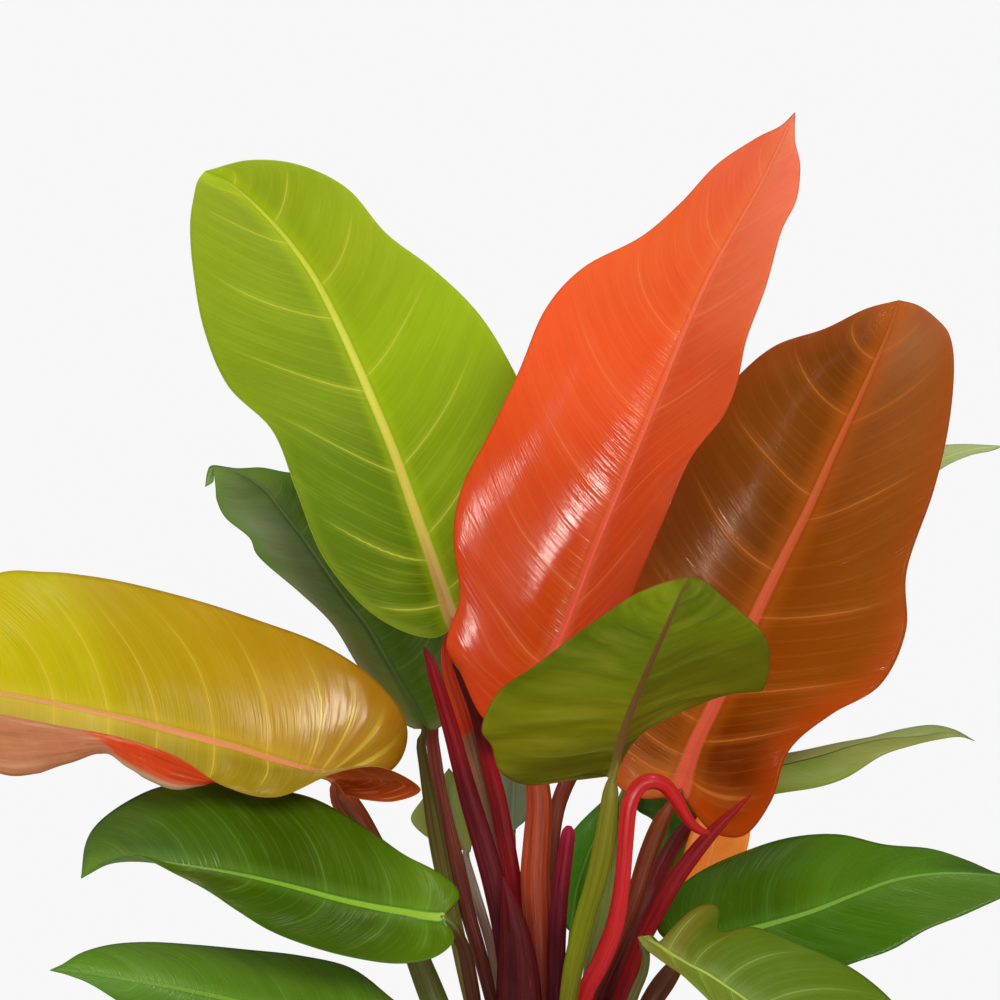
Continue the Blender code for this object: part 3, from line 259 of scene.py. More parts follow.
# Small young leaves that stand among the stems; the same station tables.
LEAVES.update({
    "blade_young_orange": dict(color=(0.85, 0.22, 0.03), sweep=0.06, bow=0.10, small=True, stations=[
        ((690, 932, 46), (686, 930, 47), (694, 933, 45)),
        ((694, 915, 47), (678, 912, 45), (712, 915, 42)),
        ((702, 885, 49), (678, 880, 45), (733, 888, 42)),
        ((712, 850, 51), (686, 845, 47), (747, 850, 44)),
        ((721, 820, 52), (698, 815, 49), (751, 820, 47)),
        ((730, 792, 53), (714, 788, 52), (747, 792, 51)),
        ((738, 768, 54), (738, 768, 54), (738, 768, 54)),
    ]),
    "blade_inner_green": dict(color=(0.13, 0.30, 0.02), sweep=0.06, bow=0.10, small=True, stations=[
        ((572, 932, 26), (568, 930, 27), (576, 932, 25)),
        ((573, 918, 27), (556, 915, 25), (588, 914, 24)),
        ((577, 890, 29), (549, 882, 26), (600, 880, 25)),
        ((586, 860, 31), (560, 850, 28), (612, 852, 27)),
        ((598, 832, 33), (577, 826, 31), (618, 826, 30)),
        ((609, 808, 35), (598, 805, 34), (619, 806, 34)),
        ((618, 788, 36), (618, 788, 36), (618, 788, 36)),
    ]),
    "blade_inner_right": dict(color=(0.09, 0.24, 0.015), sweep=0.06, bow=0.08, small=True, stations=[
        ((655, 908, 73), (651, 906, 74), (659, 909, 72)),
        ((660, 894, 74), (649, 888, 73), (671, 893, 71)),
        ((669, 868, 76), (655, 862, 74), (692, 868, 72)),
        ((674, 845, 78), (660, 842, 76), (702, 842, 74)),
        ((671, 822, 80), (653, 821, 78), (698, 814, 76)),
        ((660, 802, 82), (636, 808, 81), (680, 792, 80)),
        ((644, 785, 83), (644, 785, 83), (644, 785, 83)),
    ]),
    "blade_inner_grey": dict(color=(0.16, 0.24, 0.10), sweep=0.06, bow=0.08, small=True, stations=[
        ((512, 830, 30), (508, 829, 31), (516, 829, 29)),
        ((512, 822, 31), (497, 818, 30), (530, 815, 28)),
        ((513, 796, 33), (492, 788, 31), (539, 788, 29)),
        ((516, 757, 35), (496, 750, 33), (541, 748, 31)),
        ((520, 720, 37), (504, 716, 35), (540, 712, 34)),
        ((525, 690, 39), (525, 690, 39), (525, 690, 39)),
    ]),
    "blade_inner_left": dict(color=(0.20, 0.30, 0.06), sweep=0.06, bow=0.08, small=True, stations=[
        ((466, 852, 54), (462, 850, 55), (470, 852, 53)),
        ((463, 843, 56), (444, 845, 58), (472, 842, 54)),
        ((458, 829, 57), (424, 835, 62), (473, 825, 55)),
        ((454, 813, 58), (411, 819, 64), (470, 804, 56)),
        ((451, 797, 58), (421, 801, 62), (463, 789, 56)),
        ((450, 782, 58), (437, 783, 60), (456, 777, 57)),
        ((449, 768, 58), (449, 768, 58), (449, 768, 58)),
    ]),
})

# Leaves on the far side and low down.  base (x, y, z), heading from +X toward +Y,
# rise at the base and droop along the blade in degrees, length and width in m.
ARCHED = {
    "blade_rear_left": dict(color=(0.06, 0.18, 0.015), base=(-0.044, 0.082, 0.352), heading=108, rise=66, droop=56, roll=0, length=0.180, width=0.068),
    "blade_rear": dict(color=(0.10, 0.24, 0.015), base=(0.010, 0.108, 0.345), heading=84, rise=60, droop=55, roll=0, length=0.205, width=0.086),
    "blade_rear_right": dict(color=(0.05, 0.16, 0.012), base=(0.052, 0.092, 0.330), heading=54, rise=58, droop=56, roll=0, length=0.185, width=0.080),
    "blade_low_rear_left": dict(color=(0.04, 0.13, 0.01), base=(-0.072, 0.074, 0.203), heading=138, rise=9, droop=52, roll=0, length=0.190, width=0.084),
    "blade_low_rear_right": dict(color=(0.04, 0.13, 0.01), base=(0.074, 0.080, 0.200), heading=44, rise=8, droop=52, roll=0, length=0.190, width=0.084),
    "blade_low_front": dict(color=(0.05, 0.15, 0.01), base=(0.028, -0.100, 0.208), heading=-68, rise=10, droop=62, roll=0, length=0.150, width=0.072),
}

# ---------------------------------------------------------------- petioles
# Points from the leaf down to the crown: sheet u, v, depth (mm), radius (mm).
PETIOLES = {
    "petiole_upper_left": dict(color=(0.35, 0.05, 0.02), points=[
        (454, 626, 24, 1.0), (449, 640, 27, 1.9), (447, 656, 25, 2.4), (451, 679, 21, 2.6), (458, 700, 17, 2.8), (465, 722, 14, 2.9),
        (475, 757, 11, 2.9), (486, 800, 9, 2.8), (496, 845, 8, 2.8), (508, 895, 8, 2.9), (514, 935, 8, 3.0), (523, 1000, 8, 3.1),
        (528, 1070, 7, 3.2), (531, 1106, 6, 3.1)]),
    "petiole_centre": dict(color=(0.33, 0.07, 0.03), points=[
        (519, 733, -12, 1.3), (524, 745, -11, 2.6), (533, 764, -10, 4.2), (539, 800, -10, 4.9), (537, 840, -11, 5.5),
        (535, 880, -11, 5.4), (538, 930, -11, 5.0), (542, 985, -10, 4.7), (544, 1040, -8, 4.5), (546, 1085, -6, 4.2), (546, 1106, -5, 3.8)]),
    "petiole_right": dict(color=(0.22, 0.04, 0.03), points=[
        (678, 797, 14, 1.2), (670, 807, 8, 2.2), (660, 824, 4, 3.1), (648, 854, 2, 3.4), (635, 896, 0, 3.4),
        (616, 945, 0, 3.4), (595, 992, 0, 3.4), (578, 1040, 1, 3.5), (568, 1085, 2, 3.4), (564, 1106, 2, 3.2)]),
    "petiole_left": dict(color=(0.22, 0.20, 0.04), points=[
        (335, 782, 3, 1.4), (337, 789, 7, 3.0), (344, 801, 9, 4.8), (359, 822, 8, 4.7), (377, 851, 7, 3.8), (394, 886, 5, 3.8), (409, 935, 2, 4.6),
        (428, 985, -1, 5.2), (450, 1040, -3, 5.0), (470, 1095, -3, 4.5), (485, 1155, -3, 3.8)]),
    "petiole_back_left": dict(color=(0.14, 0.11, 0.03), points=[
        (425, 732, 51, 1.3), (421, 743, 49, 2.0), (424, 765, 46, 2.3), (430, 800, 42, 2.9), (437, 840, 37, 3.2), (446, 885, 31, 3.2), (456, 930, 26, 3.0),
        (468, 985, 21, 3.0), (483, 1050, 17, 3.0), (495, 1110, 14, 2.9), (501, 1160, 13, 2.8)]),
    "petiole_low_left": dict(color=(0.13, 0.08, 0.03), points=[
        (445, 919, -45, 1.3), (453, 928, -41, 2.3), (464, 950, -35, 2.6), (472, 990, -29, 2.7), (480, 1040, -24, 2.7),
        (489, 1095, -18, 2.7), (498, 1155, -12, 2.6)]),
    "petiole_lowest_left": dict(color=(0.16, 0.18, 0.04), points=[
        (403, 1049, -61, 1.3), (416, 1056, -57, 2.3), (445, 1076, -48, 2.5), (478, 1105, -36, 2.6), (504, 1138, -25, 2.6),
        (515, 1168, -19, 2.5)]),
    "petiole_front": dict(color=(0.24, 0.26, 0.03), points=[
        (612, 780, -57, 1.6), (611, 791, -57, 2.9), (608, 815, -56, 3.3), (603, 850, -53, 3.7), (595, 885, -49, 3.8),
        (586, 915, -45, 3.9), (573, 970, -39, 3.8), (565, 1030, -33, 3.5), (561, 1095, -26, 3.2), (559, 1160, -22, 2.8)]),
    "petiole_low_right": dict(color=(0.17, 0.04, 0.02), points=[
        (685, 954, 0, 1.3), (678, 963, -2, 2.8), (665, 981, -6, 4.0), (651, 1002, -9, 4.2), (634, 1034, -11, 3.8), (616, 1075, -12, 3.1),
        (601, 1120, -11, 2.8), (594, 1160, -10, 2.6)]),
    "petiole_lowest_right": dict(color=(0.15, 0.14, 0.06), points=[
        (642, 941, -68, 1.1), (646, 953, -62, 1.8), (644, 972, -56, 2.1), (634, 996, -50, 2.2), (620, 1037, -44, 2.3), (606, 1080, -36, 2.4),
        (590, 1125, -26, 2.4), (580, 1162, -18, 2.4)]),
    "petiole_back_right": dict(color=(0.17, 0.03, 0.03), points=[
        (732, 796, 72, 1.2), (722, 802, 69, 2.2), (704, 813, 64, 2.8), (687, 828, 56, 3.2), (669, 854, 42, 3.5), (652, 890, 28, 3.5),
        (631, 935, 16, 3.5), (613, 985, 10, 3.4), (602, 1040, 7, 3.0), (598, 1100, 5, 2.8), (598, 1160, 5, 2.6)]),
    "petiole_back_right_high": dict(color=(0.17, 0.05, 0.03), points=[
        (741, 563, 101, 1.2), (722, 580, 96, 2.1), (680, 630, 84, 2.2), (630, 700, 68, 2.5), (585, 752, 50, 3.0),
        (561, 796, 31, 3.2), (553, 838, 19, 2.8), (549, 890, 16, 2.6), (549, 960, 16, 2.6), (552, 1040, 17, 2.6), (556, 1110, 20, 2.6), (558, 1160, 21, 2.5)]),
    "petiole_rear_left": dict(color=(0.30, 0.10, 0.07), points=[
        (446, 673, 81, 1.2), (441, 694, 74, 2.1), (432, 728, 64, 2.6), (435, 760, 57, 2.8), (442, 800, 48, 2.6), (451, 840, 40, 2.8), (458, 872, 35, 3.1),
        (467, 910, 31, 2.9), (484, 970, 26, 2.7), (502, 1040, 23, 2.7), (514, 1100, 21, 2.6), (519, 1160, 19, 2.5)]),
    "petiole_rear": dict(color=(0.15, 0.17, 0.04), points=[
        (569, 708, 106, 1.2), (557, 730, 92, 2.1), (541, 780, 68, 2.4), (536, 850, 48, 2.5), (532, 920, 37, 2.6),
        (531, 1000, 31, 2.6), (535, 1080, 26, 2.6), (539, 1160, 22, 2.5)]),
    "petiole_rear_right": dict(color=(0.15, 0.17, 0.04), points=[
        (664, 740, 91, 1.2), (646, 758, 87, 2.1), (624, 800, 76, 2.4), (612, 850, 60, 2.6), (605, 900, 47, 3.0),
        (592, 960, 36, 2.8), (583, 1040, 27, 2.6), (578, 1110, 21, 2.6), (576, 1160, 18, 2.5)]),
    "petiole_low_rear_left": dict(color=(0.12, 0.14, 0.03), points=[
        (374, 1038, 72, 1.2), (386, 1042, 66, 2.1), (412, 1054, 52, 2.4), (442, 1077, 36, 2.5), (466, 1108, 22, 2.6),
        (481, 1140, 12, 2.6), (490, 1172, 6, 2.5)]),
    "petiole_low_rear_right": dict(color=(0.12, 0.14, 0.03), points=[
        (720, 1046, 78, 1.2), (707, 1060, 72, 1.8), (680, 1068, 58, 2.3), (644, 1080, 42, 2.5), (618, 1110, 29, 2.6),
        (600, 1140, 19, 2.6), (590, 1172, 13, 2.5)]),
    "petiole_low_front": dict(color=(0.12, 0.14, 0.03), points=[
        (615, 1115, -98, 1.2), (610, 1104, -91, 2.1), (598, 1090, -76, 2.4), (580, 1094, -58, 2.5), (560, 1115, -42, 2.6),
        (545, 1145, -29, 2.6), (538, 1168, -22, 2.5)]),
    "petiole_young_orange": dict(color=(0.45, 0.10, 0.03), points=[
        (689, 937, 46, 1.0), (682, 950, 43, 1.7), (668, 975, 33, 2.0), (648, 1015, 20, 2.1), (628, 1060, 8, 2.1),
        (610, 1110, 0, 2.1), (600, 1160, -2, 2.0)]),
    "petiole_inner_green": dict(color=(0.25, 0.35, 0.10), points=[
        (572, 937, 26, 0.8), (571, 950, 24, 1.4), (569, 990, 18, 1.6), (568, 1040, 14, 1.7), (567, 1090, 11, 1.8), (566, 1112, 10, 1.8)]),
    "petiole_inner_right": dict(color=(0.13, 0.12, 0.04), points=[
        (652, 913, 72, 0.8), (648, 926, 66, 1.6), (638, 962, 52, 1.8), (622, 1005, 38, 1.9), (604, 1055, 26, 1.9), (586, 1100, 15, 1.9), (580, 1124, 11, 1.9)]),
    "petiole_inner_grey": dict(color=(0.13, 0.10, 0.05), points=[
        (512, 834, 30, 0.8), (512, 848, 27, 1.6), (512, 900, 21, 1.9), (516, 960, 17, 2.0), (521, 1030, 15, 2.0), (526, 1090, 13, 2.0), (528, 1116, 12, 2.0)]),
    "petiole_inner_left": dict(color=(0.20, 0.18, 0.08), points=[
        (466, 857, 54, 0.8), (468, 867, 50, 1.6), (474, 890, 43, 2.0), (482, 915, 34, 2.0), (492, 950, 26, 2.0), (502, 1000, 18, 2.0),
        (508, 1045, 12, 2.0), (513, 1085, 8, 2.0), (516, 1124, 7, 2.0)]),
}

# ------------------------------------------------- sheaths around young growth
# Flattened spears: sheet u, v, depth, half width and half depth in mm.
SHEATHS = {
    "sheath_front": dict(color=(0.10, 0.008, 0.012), points=[
        (503, 877, -27, 0.5, 0.5), (507, 893, -27, 2.6, 1.6), (511, 915, -26, 5.0, 2.4), (515, 945, -25, 7.6, 2.8), (517, 985, -23, 9.8, 3.0),
        (519, 1030, -21, 10.4, 3.0), (525, 1080, -18, 8.6, 2.6), (530, 1108, -16, 6.4, 2.2)]),
    "sheath_spear": dict(color=(0.22, 0.006, 0.015), points=[
        (424, 647, -6, 0.5, 0.4), (430, 661, -7, 2.0, 1.3), (437, 684, -9, 2.9, 2.0), (451, 731, -11, 3.6, 2.3), (459, 762, -12, 3.9, 2.4),
        (470, 802, -13, 4.5, 2.4), (482, 842, -15, 4.9, 2.4), (494, 885, -17, 5.1, 2.3), (503, 930, -18, 4.8, 2.1), (510, 985, -17, 4.4, 2.0),
        (517, 1050, -13, 4.0, 2.0), (525, 1110, -11, 3.4, 2.0)]),
    "sheath_left": dict(color=(0.32, 0.01, 0.01), points=[
        (453, 664, 14, 0.4, 0.4), (461, 680, 12, 1.3, 1.0), (470, 700, 9, 2.1, 1.4), (478, 722, 6, 2.7, 1.5), (487, 757, 3, 3.2, 1.7),
        (498, 802, 0, 3.7, 1.8), (507, 850, -1, 3.8, 1.9), (516, 893, -1, 3.2, 1.9), (522, 940, -1, 2.9, 1.8), (528, 1000, -1, 2.6, 1.7), (532, 1070, 0, 2.4, 1.6), (534, 1104, 0, 2.2, 1.5)]),
    "sheath_stub": dict(color=(0.22, 0.005, 0.03), points=[
        (569, 826, -24, 1.2, 1.0), (568, 834, -24, 2.9, 2.2), (564, 862, -24, 3.4, 2.5), (559, 900, -24, 3.7, 2.6), (556, 945, -23, 3.9, 2.6),
        (556, 1000, -21, 3.8, 2.6), (556, 1060, -18, 3.4, 2.4), (555, 1110, -15, 3.0, 2.1)]),
    "sheath_right": dict(color=(0.20, 0.01, 0.02), points=[
        (751, 795, -14, 0.4, 0.4), (739, 806, -15, 1.2, 1.0), (717, 827, -17, 2.6, 1.7), (696, 851, -18, 3.4, 2.1), (676, 878, -18, 3.8, 2.3), (658, 910, -18, 3.6, 2.4),
        (638, 950, -17, 3.4, 2.4), (622, 995, -15, 3.4, 2.4), (604, 1045, -13, 3.4, 2.3), (589, 1095, -11, 3.2, 2.2), (582, 1125, -10, 2.8, 2.0)]),
}

# The curled red stipule that loops over in front of the right-hand leaf.
LOOP = dict(color=(0.75, 0.01, 0.015), points=[
    (709, 833, -26, 0.9), (699, 830, -28, 1.5), (689, 821, -31, 2.0), (680, 806, -34, 2.5), (673, 795, -36, 2.7), (664, 785, -38, 2.9),
    (653, 781, -40, 3.0), (642, 784, -41, 3.0), (633, 795, -42, 3.0), (628, 812, -42, 3.1), (625, 846, -41, 3.2), (622, 883, -39, 3.3),
    (615, 925, -35, 3.5), (602, 960, -31, 3.6), (584, 998, -28, 3.3), (577, 1050, -23, 2.9), (575, 1100, -19, 2.6), (573, 1128, -18, 2.4)])

# Which way the upper face looks: +1 along the surface normal of the rows, -1 against it.
UPPER = {name: -1 for name in list(LEAVES) + list(ARCHED)}
for name in ("blade_left", "blade_low_left", "blade_lowest_left", "blade_front"):
    UPPER[name] = 1


# ---------------------------------------------------------------- curves and rows
def front(u, v, depth):
    c, s = math.cos(SHEET_TILT), math.sin(SHEET_TILT)
    centre = np.array(SHEET_CENTRE)
    forward, up, right = np.array((0, c, -s)), np.array((0, s, c)), np.array((1.0, 0, 0))
    eye = centre - SHEET_DISTANCE * forward
    ray = forward + (right * (u - 500) + up * (500 - v)) * GRID / SHEET_DISTANCE
    return eye + ray * ((depth / 1000.0 - eye[1]) / ray[1])


def spline(points, at):
    p = np.asarray(points, float)
    p = np.vstack([2 * p[0] - p[1], p, 2 * p[-1] - p[-2]])
    at = np.clip(np.asarray(at, float), 0, len(p) - 3 - 1e-9)
    i = at.astype(int)
    f = (at - i)[:, None]
    a, b, c, d = p[i], p[i + 1], p[i + 2], p[i + 3]
    return 0.5 * (2 * b + (c - a) * f + (2 * a - 5 * b + 4 * c - d) * f ** 2 + (3 * b - a - 3 * c + d) * f ** 3)


def unit(a):
    return a / np.maximum(np.linalg.norm(a, axis=-1, keepdims=True), 1e-12)


def smooth(lo, hi, x):
    t = np.clip((x - lo) / (hi - lo), 0, 1)
    return t * t * (3 - 2 * t)


def blade_rows(mid, first, second, sweep, bow, curl_first, curl_second, params, across):
    m, a, b = spline(mid, params), spline(first, params), spline(second, params)
    ca, cb = spline(curl_first, params), spline(curl_second, params)
    along = unit(spline(mid, np.asarray(params) + 0.35) - spline(mid, np.asarray(params) - 0.35))
    normal = unit(np.cross(along, b - a))
    rows = []
    for t in across:
        edge, extra = (a, ca) if t < 0 else (b, cb)
        q = abs(t)
        half = edge - m
        width = np.linalg.norm(half, axis=1, keepdims=True)
        swing = 4 * q * (1 - q)
        rows.append(m + half * q + swing * (-along * width * sweep + normal * width * bow + extra))
    return np.stack(rows, axis=1)


def sheet_leaf(spec):
    mid, first, second, c1, c2 = [], [], [], [], []
    curl = spec.get("curl", {})
    for k, (m, a, b) in enumerate(spec["stations"]):
        mid.append(front(*m)); first.append(front(*a)); second.append(front(*b))
        c1.append((0, 0, 0))
        du, dv, dd = curl.get(k, (0, 0, 0))
        c2.append((du * GRID, dd / 1000.0, -dv * GRID))
    return [np.array(x, float) for x in (mid, first, second, c1, c2)]


def arched_leaf(spec, count=12):
    base = np.array(spec["base"], float)
    head = math.radians(spec["heading"])
    out = np.array((math.cos(head), math.sin(head), 0.0))
    side = np.array((-math.sin(head), math.cos(head), 0.0))
    length, half = spec["length"], spec["width"] / 2
    mid, first, second = [], [], []
    p = base.copy()
    last = 0.0
    for k in range(count + 1):
        s = k / count
        angle = math.radians(spec["rise"] - spec["droop"] * s ** 1.2)
        p = p + (s - last) * length * (out * math.cos(angle) + np.array((0, 0, math.sin(angle))))
        last = s
        up = np.array((0, 0, math.cos(angle))) - out * math.sin(angle)
        w = half * (math.sin(math.pi * min(1.0, 0.08 + 0.92 * s) ** 0.72)) ** 0.75 if s < 1 else 0.0
        back = -0.10 * length * max(0.0, 1 - s / 0.18)
        fwd = 0.13 * length * math.sin(math.pi * s) ** 0.8 if 0 < s < 1 else 0.0
        shift = out * math.cos(angle) + np.array((0, 0, math.sin(angle)))
        lift = 0.16 * w
        mid.append(p.copy())
        first.append(p + side * w + shift * (fwd + back) + up * lift)
        second.append(p - side * w + shift * (fwd + back) + up * lift)
    zero = [(0, 0, 0)] * (count + 1)
    return [np.array(x, float) for x in (mid, first, second, zero, zero)]


# ---------------------------------------------------------------- mesh helpers
def waves(points, scale, seed, count=6):
    """A smooth, seeded sum of waves through space, about -1 to 1."""
    rng = np.random.default_rng(seed)
    total = np.zeros(points.shape[:-1])
    for _ in range(count):
        k = rng.normal(size=3)
        k = k / np.linalg.norm(k) * scale * rng.uniform(0.6, 1.6)
        total += np.sin(points @ k + rng.uniform(0, 2 * math.pi))
    return total / math.sqrt(count)


def add_float(mesh, name, values):
    attr = mesh.attributes.new(name, "FLOAT", "POINT")
    attr.data.foreach_set("value", np.asarray(values, np.float32).ravel())


def add_uv(mesh, uv):
    layer = mesh.uv_layers.new(name="UVMap")
    loops = np.zeros(len(mesh.loops), np.int32)
    mesh.loops.foreach_get("vertex_index", loops)
    layer.data.foreach_set("uv", np.asarray(uv, np.float32)[loops].ravel())


def build_mesh(name, verts, faces):
    mesh = bpy.data.meshes.new(name)
    mesh.from_pydata(np.asarray(verts, float).reshape(-1, 3).tolist(), [], faces)
    mesh.update()
    mesh.validate()
    return mesh


def finish_piece(obj, nodes):
    obj.data.shade_smooth()
    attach(obj, "root")
    if nodes:
        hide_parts(*nodes)
    return obj


def new_object(name, mesh, mat):
    obj = bpy.data.objects.new(name, mesh)
    mesh.materials.append(mat)
    bpy.context.scene.collection.objects.link(obj)
    return obj


# ---------------------------------------------------------------- blades
BLADE_THICKNESS = 0.0007

# Where the main lateral veins leave the midrib on the two half blades (station numbers),
# and how far, in stations, they bend forward on their way to the margin.
VEINS = {
    "blade_upper_left": dict(left=[2.1, 3.8, 5.6, 6.9, 8.15, 9.8, 11.3], right=[2.6, 4.4, 5.7, 7.1, 8.8, 10.4, 11.8], fan=(1.0, 1.0), curve=1.25),
    "blade_centre": dict(left=[3.5, 5.3, 6.8, 8.2, 9.65, 11.45, 13.2], right=[3.2, 5.0, 6.6, 8.35, 10.1, 11.9, 13.6], fan=(1.5, 1.4), curve=1.3),
    "blade_right": dict(left=[2.4, 3.4, 4.6, 6.2, 7.8, 9.25, 10.9, 12.4], right=[2.3, 4.0, 5.4, 6.9, 8.8, 10.7, 12.6], fan=(1.5, 0.8), curve=1.3),
    "blade_left": dict(left=[2.0, 3.0, 3.9, 4.8, 6.1, 7.3, 8.47, 9.93, 11.3, 12.6], right=[3.0, 4.8, 6.1, 7.3, 8.47, 9.93, 11.3, 12.6], fan=(0.7, 0.5)),
    "blade_lowest_right": dict(left=[3.0, 5.2, 6.8, 8.3, 9.6, 10.9], right=[3.4, 5.6, 7.2, 8.7, 10.0, 11.3], fan=(0.7, 0.7)),
}


def distance_to_line(points, line):
    """Shortest distance from each point to a polyline."""
    a, d = line[:-1], np.diff(line, axis=0)
    dd = np.maximum((d * d).sum(1), 1e-16)
    best = np.full(len(points), 1e9)
    for k in range(0, len(points), 4096):
        p = points[k:k + 4096]
        rel = p[:, None] - a[None]
        t = np.clip((rel * d[None]).sum(2) / dd, 0, 1)
        gap = rel - t[..., None] * d[None]
        best[k:k + 4096] = np.sqrt((gap * gap).sum(2)).min(1)
    return best



def steady_normals(rows, raw, reach=0.0022):
    """Area-weighted face directions averaged over a couple of millimetres, across and then along the blade."""
    for turn in (False, True):
        grid, vec = (rows.transpose(1, 0, 2), raw.transpose(1, 0, 2)) if turn else (rows, raw)
        out = np.zeros_like(vec)
        for i in range(len(grid)):
            a = np.concatenate([[0.0], np.cumsum(np.linalg.norm(np.diff(grid[i], axis=0), axis=1))])
            w = np.exp(-((a[:, None] - a[None, :]) / reach) ** 2)
            out[i] = w @ vec[i]
        raw = out.transpose(1, 0, 2) if turn else out
    normal = unit(raw)
    normal[-1] = unit(normal[-3].mean(axis=0)[None, :])
    normal[-2] = unit(0.5 * normal[-3] + 0.5 * normal[-1])
    return normal


def fine_blade(name, spec, ns, nh, seed, quilt=0.5, ripple=0.6, rib_height=1.5):
    """Closed two-faced blade with a ribbed underside, quilting between its veins and a thin margin."""
    lists = sheet_leaf(spec) if "stations" in spec else arched_leaf(spec)
    count = len(lists[0]) - 1
    params = np.linspace(0, count, ns + 1)
    q = np.linspace(0, 1, nh + 1)
    q = q ** 1.25                         # rows are closer together by the midrib
    across = np.concatenate([-q[::-1], q[1:]])
    sign = UPPER[name]
    bow = spec.get("bow", 0.05) * sign
    rows = blade_rows(*lists[:3], spec.get("sweep", 0.1), bow, lists[3], lists[4], params, across)
    # local frame
    ds = np.gradient(rows, axis=0)
    dt = np.gradient(rows, axis=1)
    normal = steady_normals(rows, np.cross(ds, dt))
    upper = normal * sign
    S = np.repeat(params[:, None], 2 * nh + 1, 1)
    T = np.repeat(across[None, :], ns + 1, 0)
    flat = rows.reshape(-1, 3)
    rib = distance_to_line(flat, rows[:, nh]).reshape(S.shape) * 1000.0       # mm from the midrib
    margin_line = np.concatenate([rows[:, 0], rows[::-1, -1]])
    edge = distance_to_line(flat, margin_line).reshape(S.shape) * 1000.0      # mm from the margin
    # lateral veins: each leaves the midrib at its own place and bends forward to the margin
    look = VEINS.get(name, {})
    arc = np.concatenate([[0], np.cumsum(np.linalg.norm(np.diff(rows[:, nh], axis=0), axis=1))]) * 1000.0
    rng = np.random.default_rng(seed)
    even = list(np.arange(1.2, count, look.get("every", 1.7)) + rng.uniform(-0.12, 0.12, len(np.arange(1.2, count, look.get("every", 1.7)))))
    fan_l, fan_r = look.get("fan", (0.8, 0.8))
    fan = np.where(T < 0, fan_l, fan_r) * np.abs(T) ** look.get("curve", 2.0)
    wob = 0.05 * np.sin(2.1 * S + 3.0 * np.abs(T) + seed) * np.abs(T)
    along_s = np.clip(S - fan + wob, 0, count)
    F = np.interp(along_s, params, arc)                                       # mm along the midrib
    V = np.zeros_like(S)
    gap = np.ones_like(S)
    for side, key in ((T < 0, "left"), (T >= 0, "right")):
        roots = np.array(look.get(key, even), float)
        root_mm = np.interp(roots, params, arc)
        first, last = root_mm[1] - root_mm[0], root_mm[-1] - root_mm[-2]
        root_mm = np.concatenate([[root_mm[0] - 2 * first, root_mm[0] - first], root_mm, [root_mm[-1] + last, root_mm[-1] + 2 * last]])
        V = np.where(side, np.interp(F, root_mm, np.arange(len(root_mm)) - 2.0), V)
        gap = np.where(side, np.interp(F, (root_mm[1:] + root_mm[:-1]) / 2, np.diff(root_mm)), gap)
    # the blade sinks along each vein and swells a little between them
    d_vein = np.abs((V + 0.5) % 1.0 - 0.5) * gap
    fade = smooth(0.04, 0.25, np.abs(T)) * (1 - smooth(0.70, 1.0, np.abs(T))) * smooth(0.4, 2.0, S) * (1 - smooth(count - 2.0, count, S))
    swell = -quilt * 0.001 * np.exp(-(d_vein / 3.2) ** 2) * fade
    wave = ripple * 0.001 * waves(rows, 55.0, seed) * smooth(0.0, 0.5, np.abs(T)) * smooth(0.5, 3, S) * (1 - smooth(count - 1.5, count, S))
    taper = np.clip(1 - S / count, 0, 1)
    width = 0.9 + 1.9 * taper                         # mm, half width of the midrib
    ridge = rib_height * (0.18 + 0.82 * taper) * np.exp(-(rib / width) ** 2)   # mm
    groove = 0.35 * taper * np.exp(-(rib / (width * 0.75)) ** 2)
    vein_line = np.exp(-(d_vein / 0.7) ** 2) * fade
    thin = BLADE_THICKNESS * (0.25 + 0.75 * smooth(0.0, 2.5, edge))
    base = rows + upper * (swell + wave)[..., None]
    top = base + upper * (thin / 2 - groove * 0.001 + 0.00012 * -vein_line)[..., None]
    low = base - upper * (thin / 2 + ridge * 0.001 + 0.00022 * vein_line)[..., None]
    # the last row is the tip and closes to a point on each face
    n1, n2 = ns + 1, 2 * nh + 1
    verts = np.concatenate([top.reshape(-1, 3), low.reshape(-1, 3)])
    idx = np.arange(n1 * n2).reshape(n1, n2)
    faces = []
    up_first = sign > 0
    for off, flip in ((0, not up_first), (n1 * n2, up_first)):
        a, b, c, d = idx[:-1, :-1] + off, idx[:-1, 1:] + off, idx[1:, 1:] + off, idx[1:, :-1] + off
        quad = np.stack([a, d, c, b] if not flip else [a, b, c, d], -1).reshape(-1, 4)
        faces.append(quad)
    loop = np.concatenate([idx[:, 0], idx[-1, 1:], idx[::-1, -1][1:], idx[0, ::-1][1:]])
    nxt = loop[1:]
    cur = loop[:-1]
    off = n1 * n2
    rim = np.stack([cur, cur + off, nxt + off, nxt] if up_first else [cur, nxt, nxt + off, cur + off], -1)
    faces.append(rim)
    faces = np.concatenate(faces).tolist()
    mesh = bpy.data.meshes.new(name + "_fine")
    mesh.from_pydata(verts.tolist(), [], faces)
    mesh.update()
    def both(x):
        return np.concatenate([x.ravel(), x.ravel()])
    add_float(mesh, "S", both(S))
    add_float(mesh, "T", both(T))
    add_float(mesh, "V", both(V))
    add_float(mesh, "F", both(F))
    add_float(mesh, "gap", both(gap))
    add_float(mesh, "rib", both(rib))
    add_float(mesh, "edge", both(edge))
    add_float(mesh, "under", np.concatenate([np.zeros(n1 * n2), np.ones(n1 * n2)]))
    uv = np.stack([both(S / count), both(T * 0.5 + 0.5)], -1)
    add_uv(mesh, uv)
    bm = bmesh.new()
    bm.from_mesh(mesh)
    bmesh.ops.remove_doubles(bm, verts=bm.verts, dist=0.00002)
    bmesh.ops.dissolve_degenerate(bm, edges=bm.edges, dist=0.000005)
    bmesh.ops.recalc_face_normals(bm, faces=bm.faces)
    bm.to_mesh(mesh)
    bm.free()
    return mesh, count


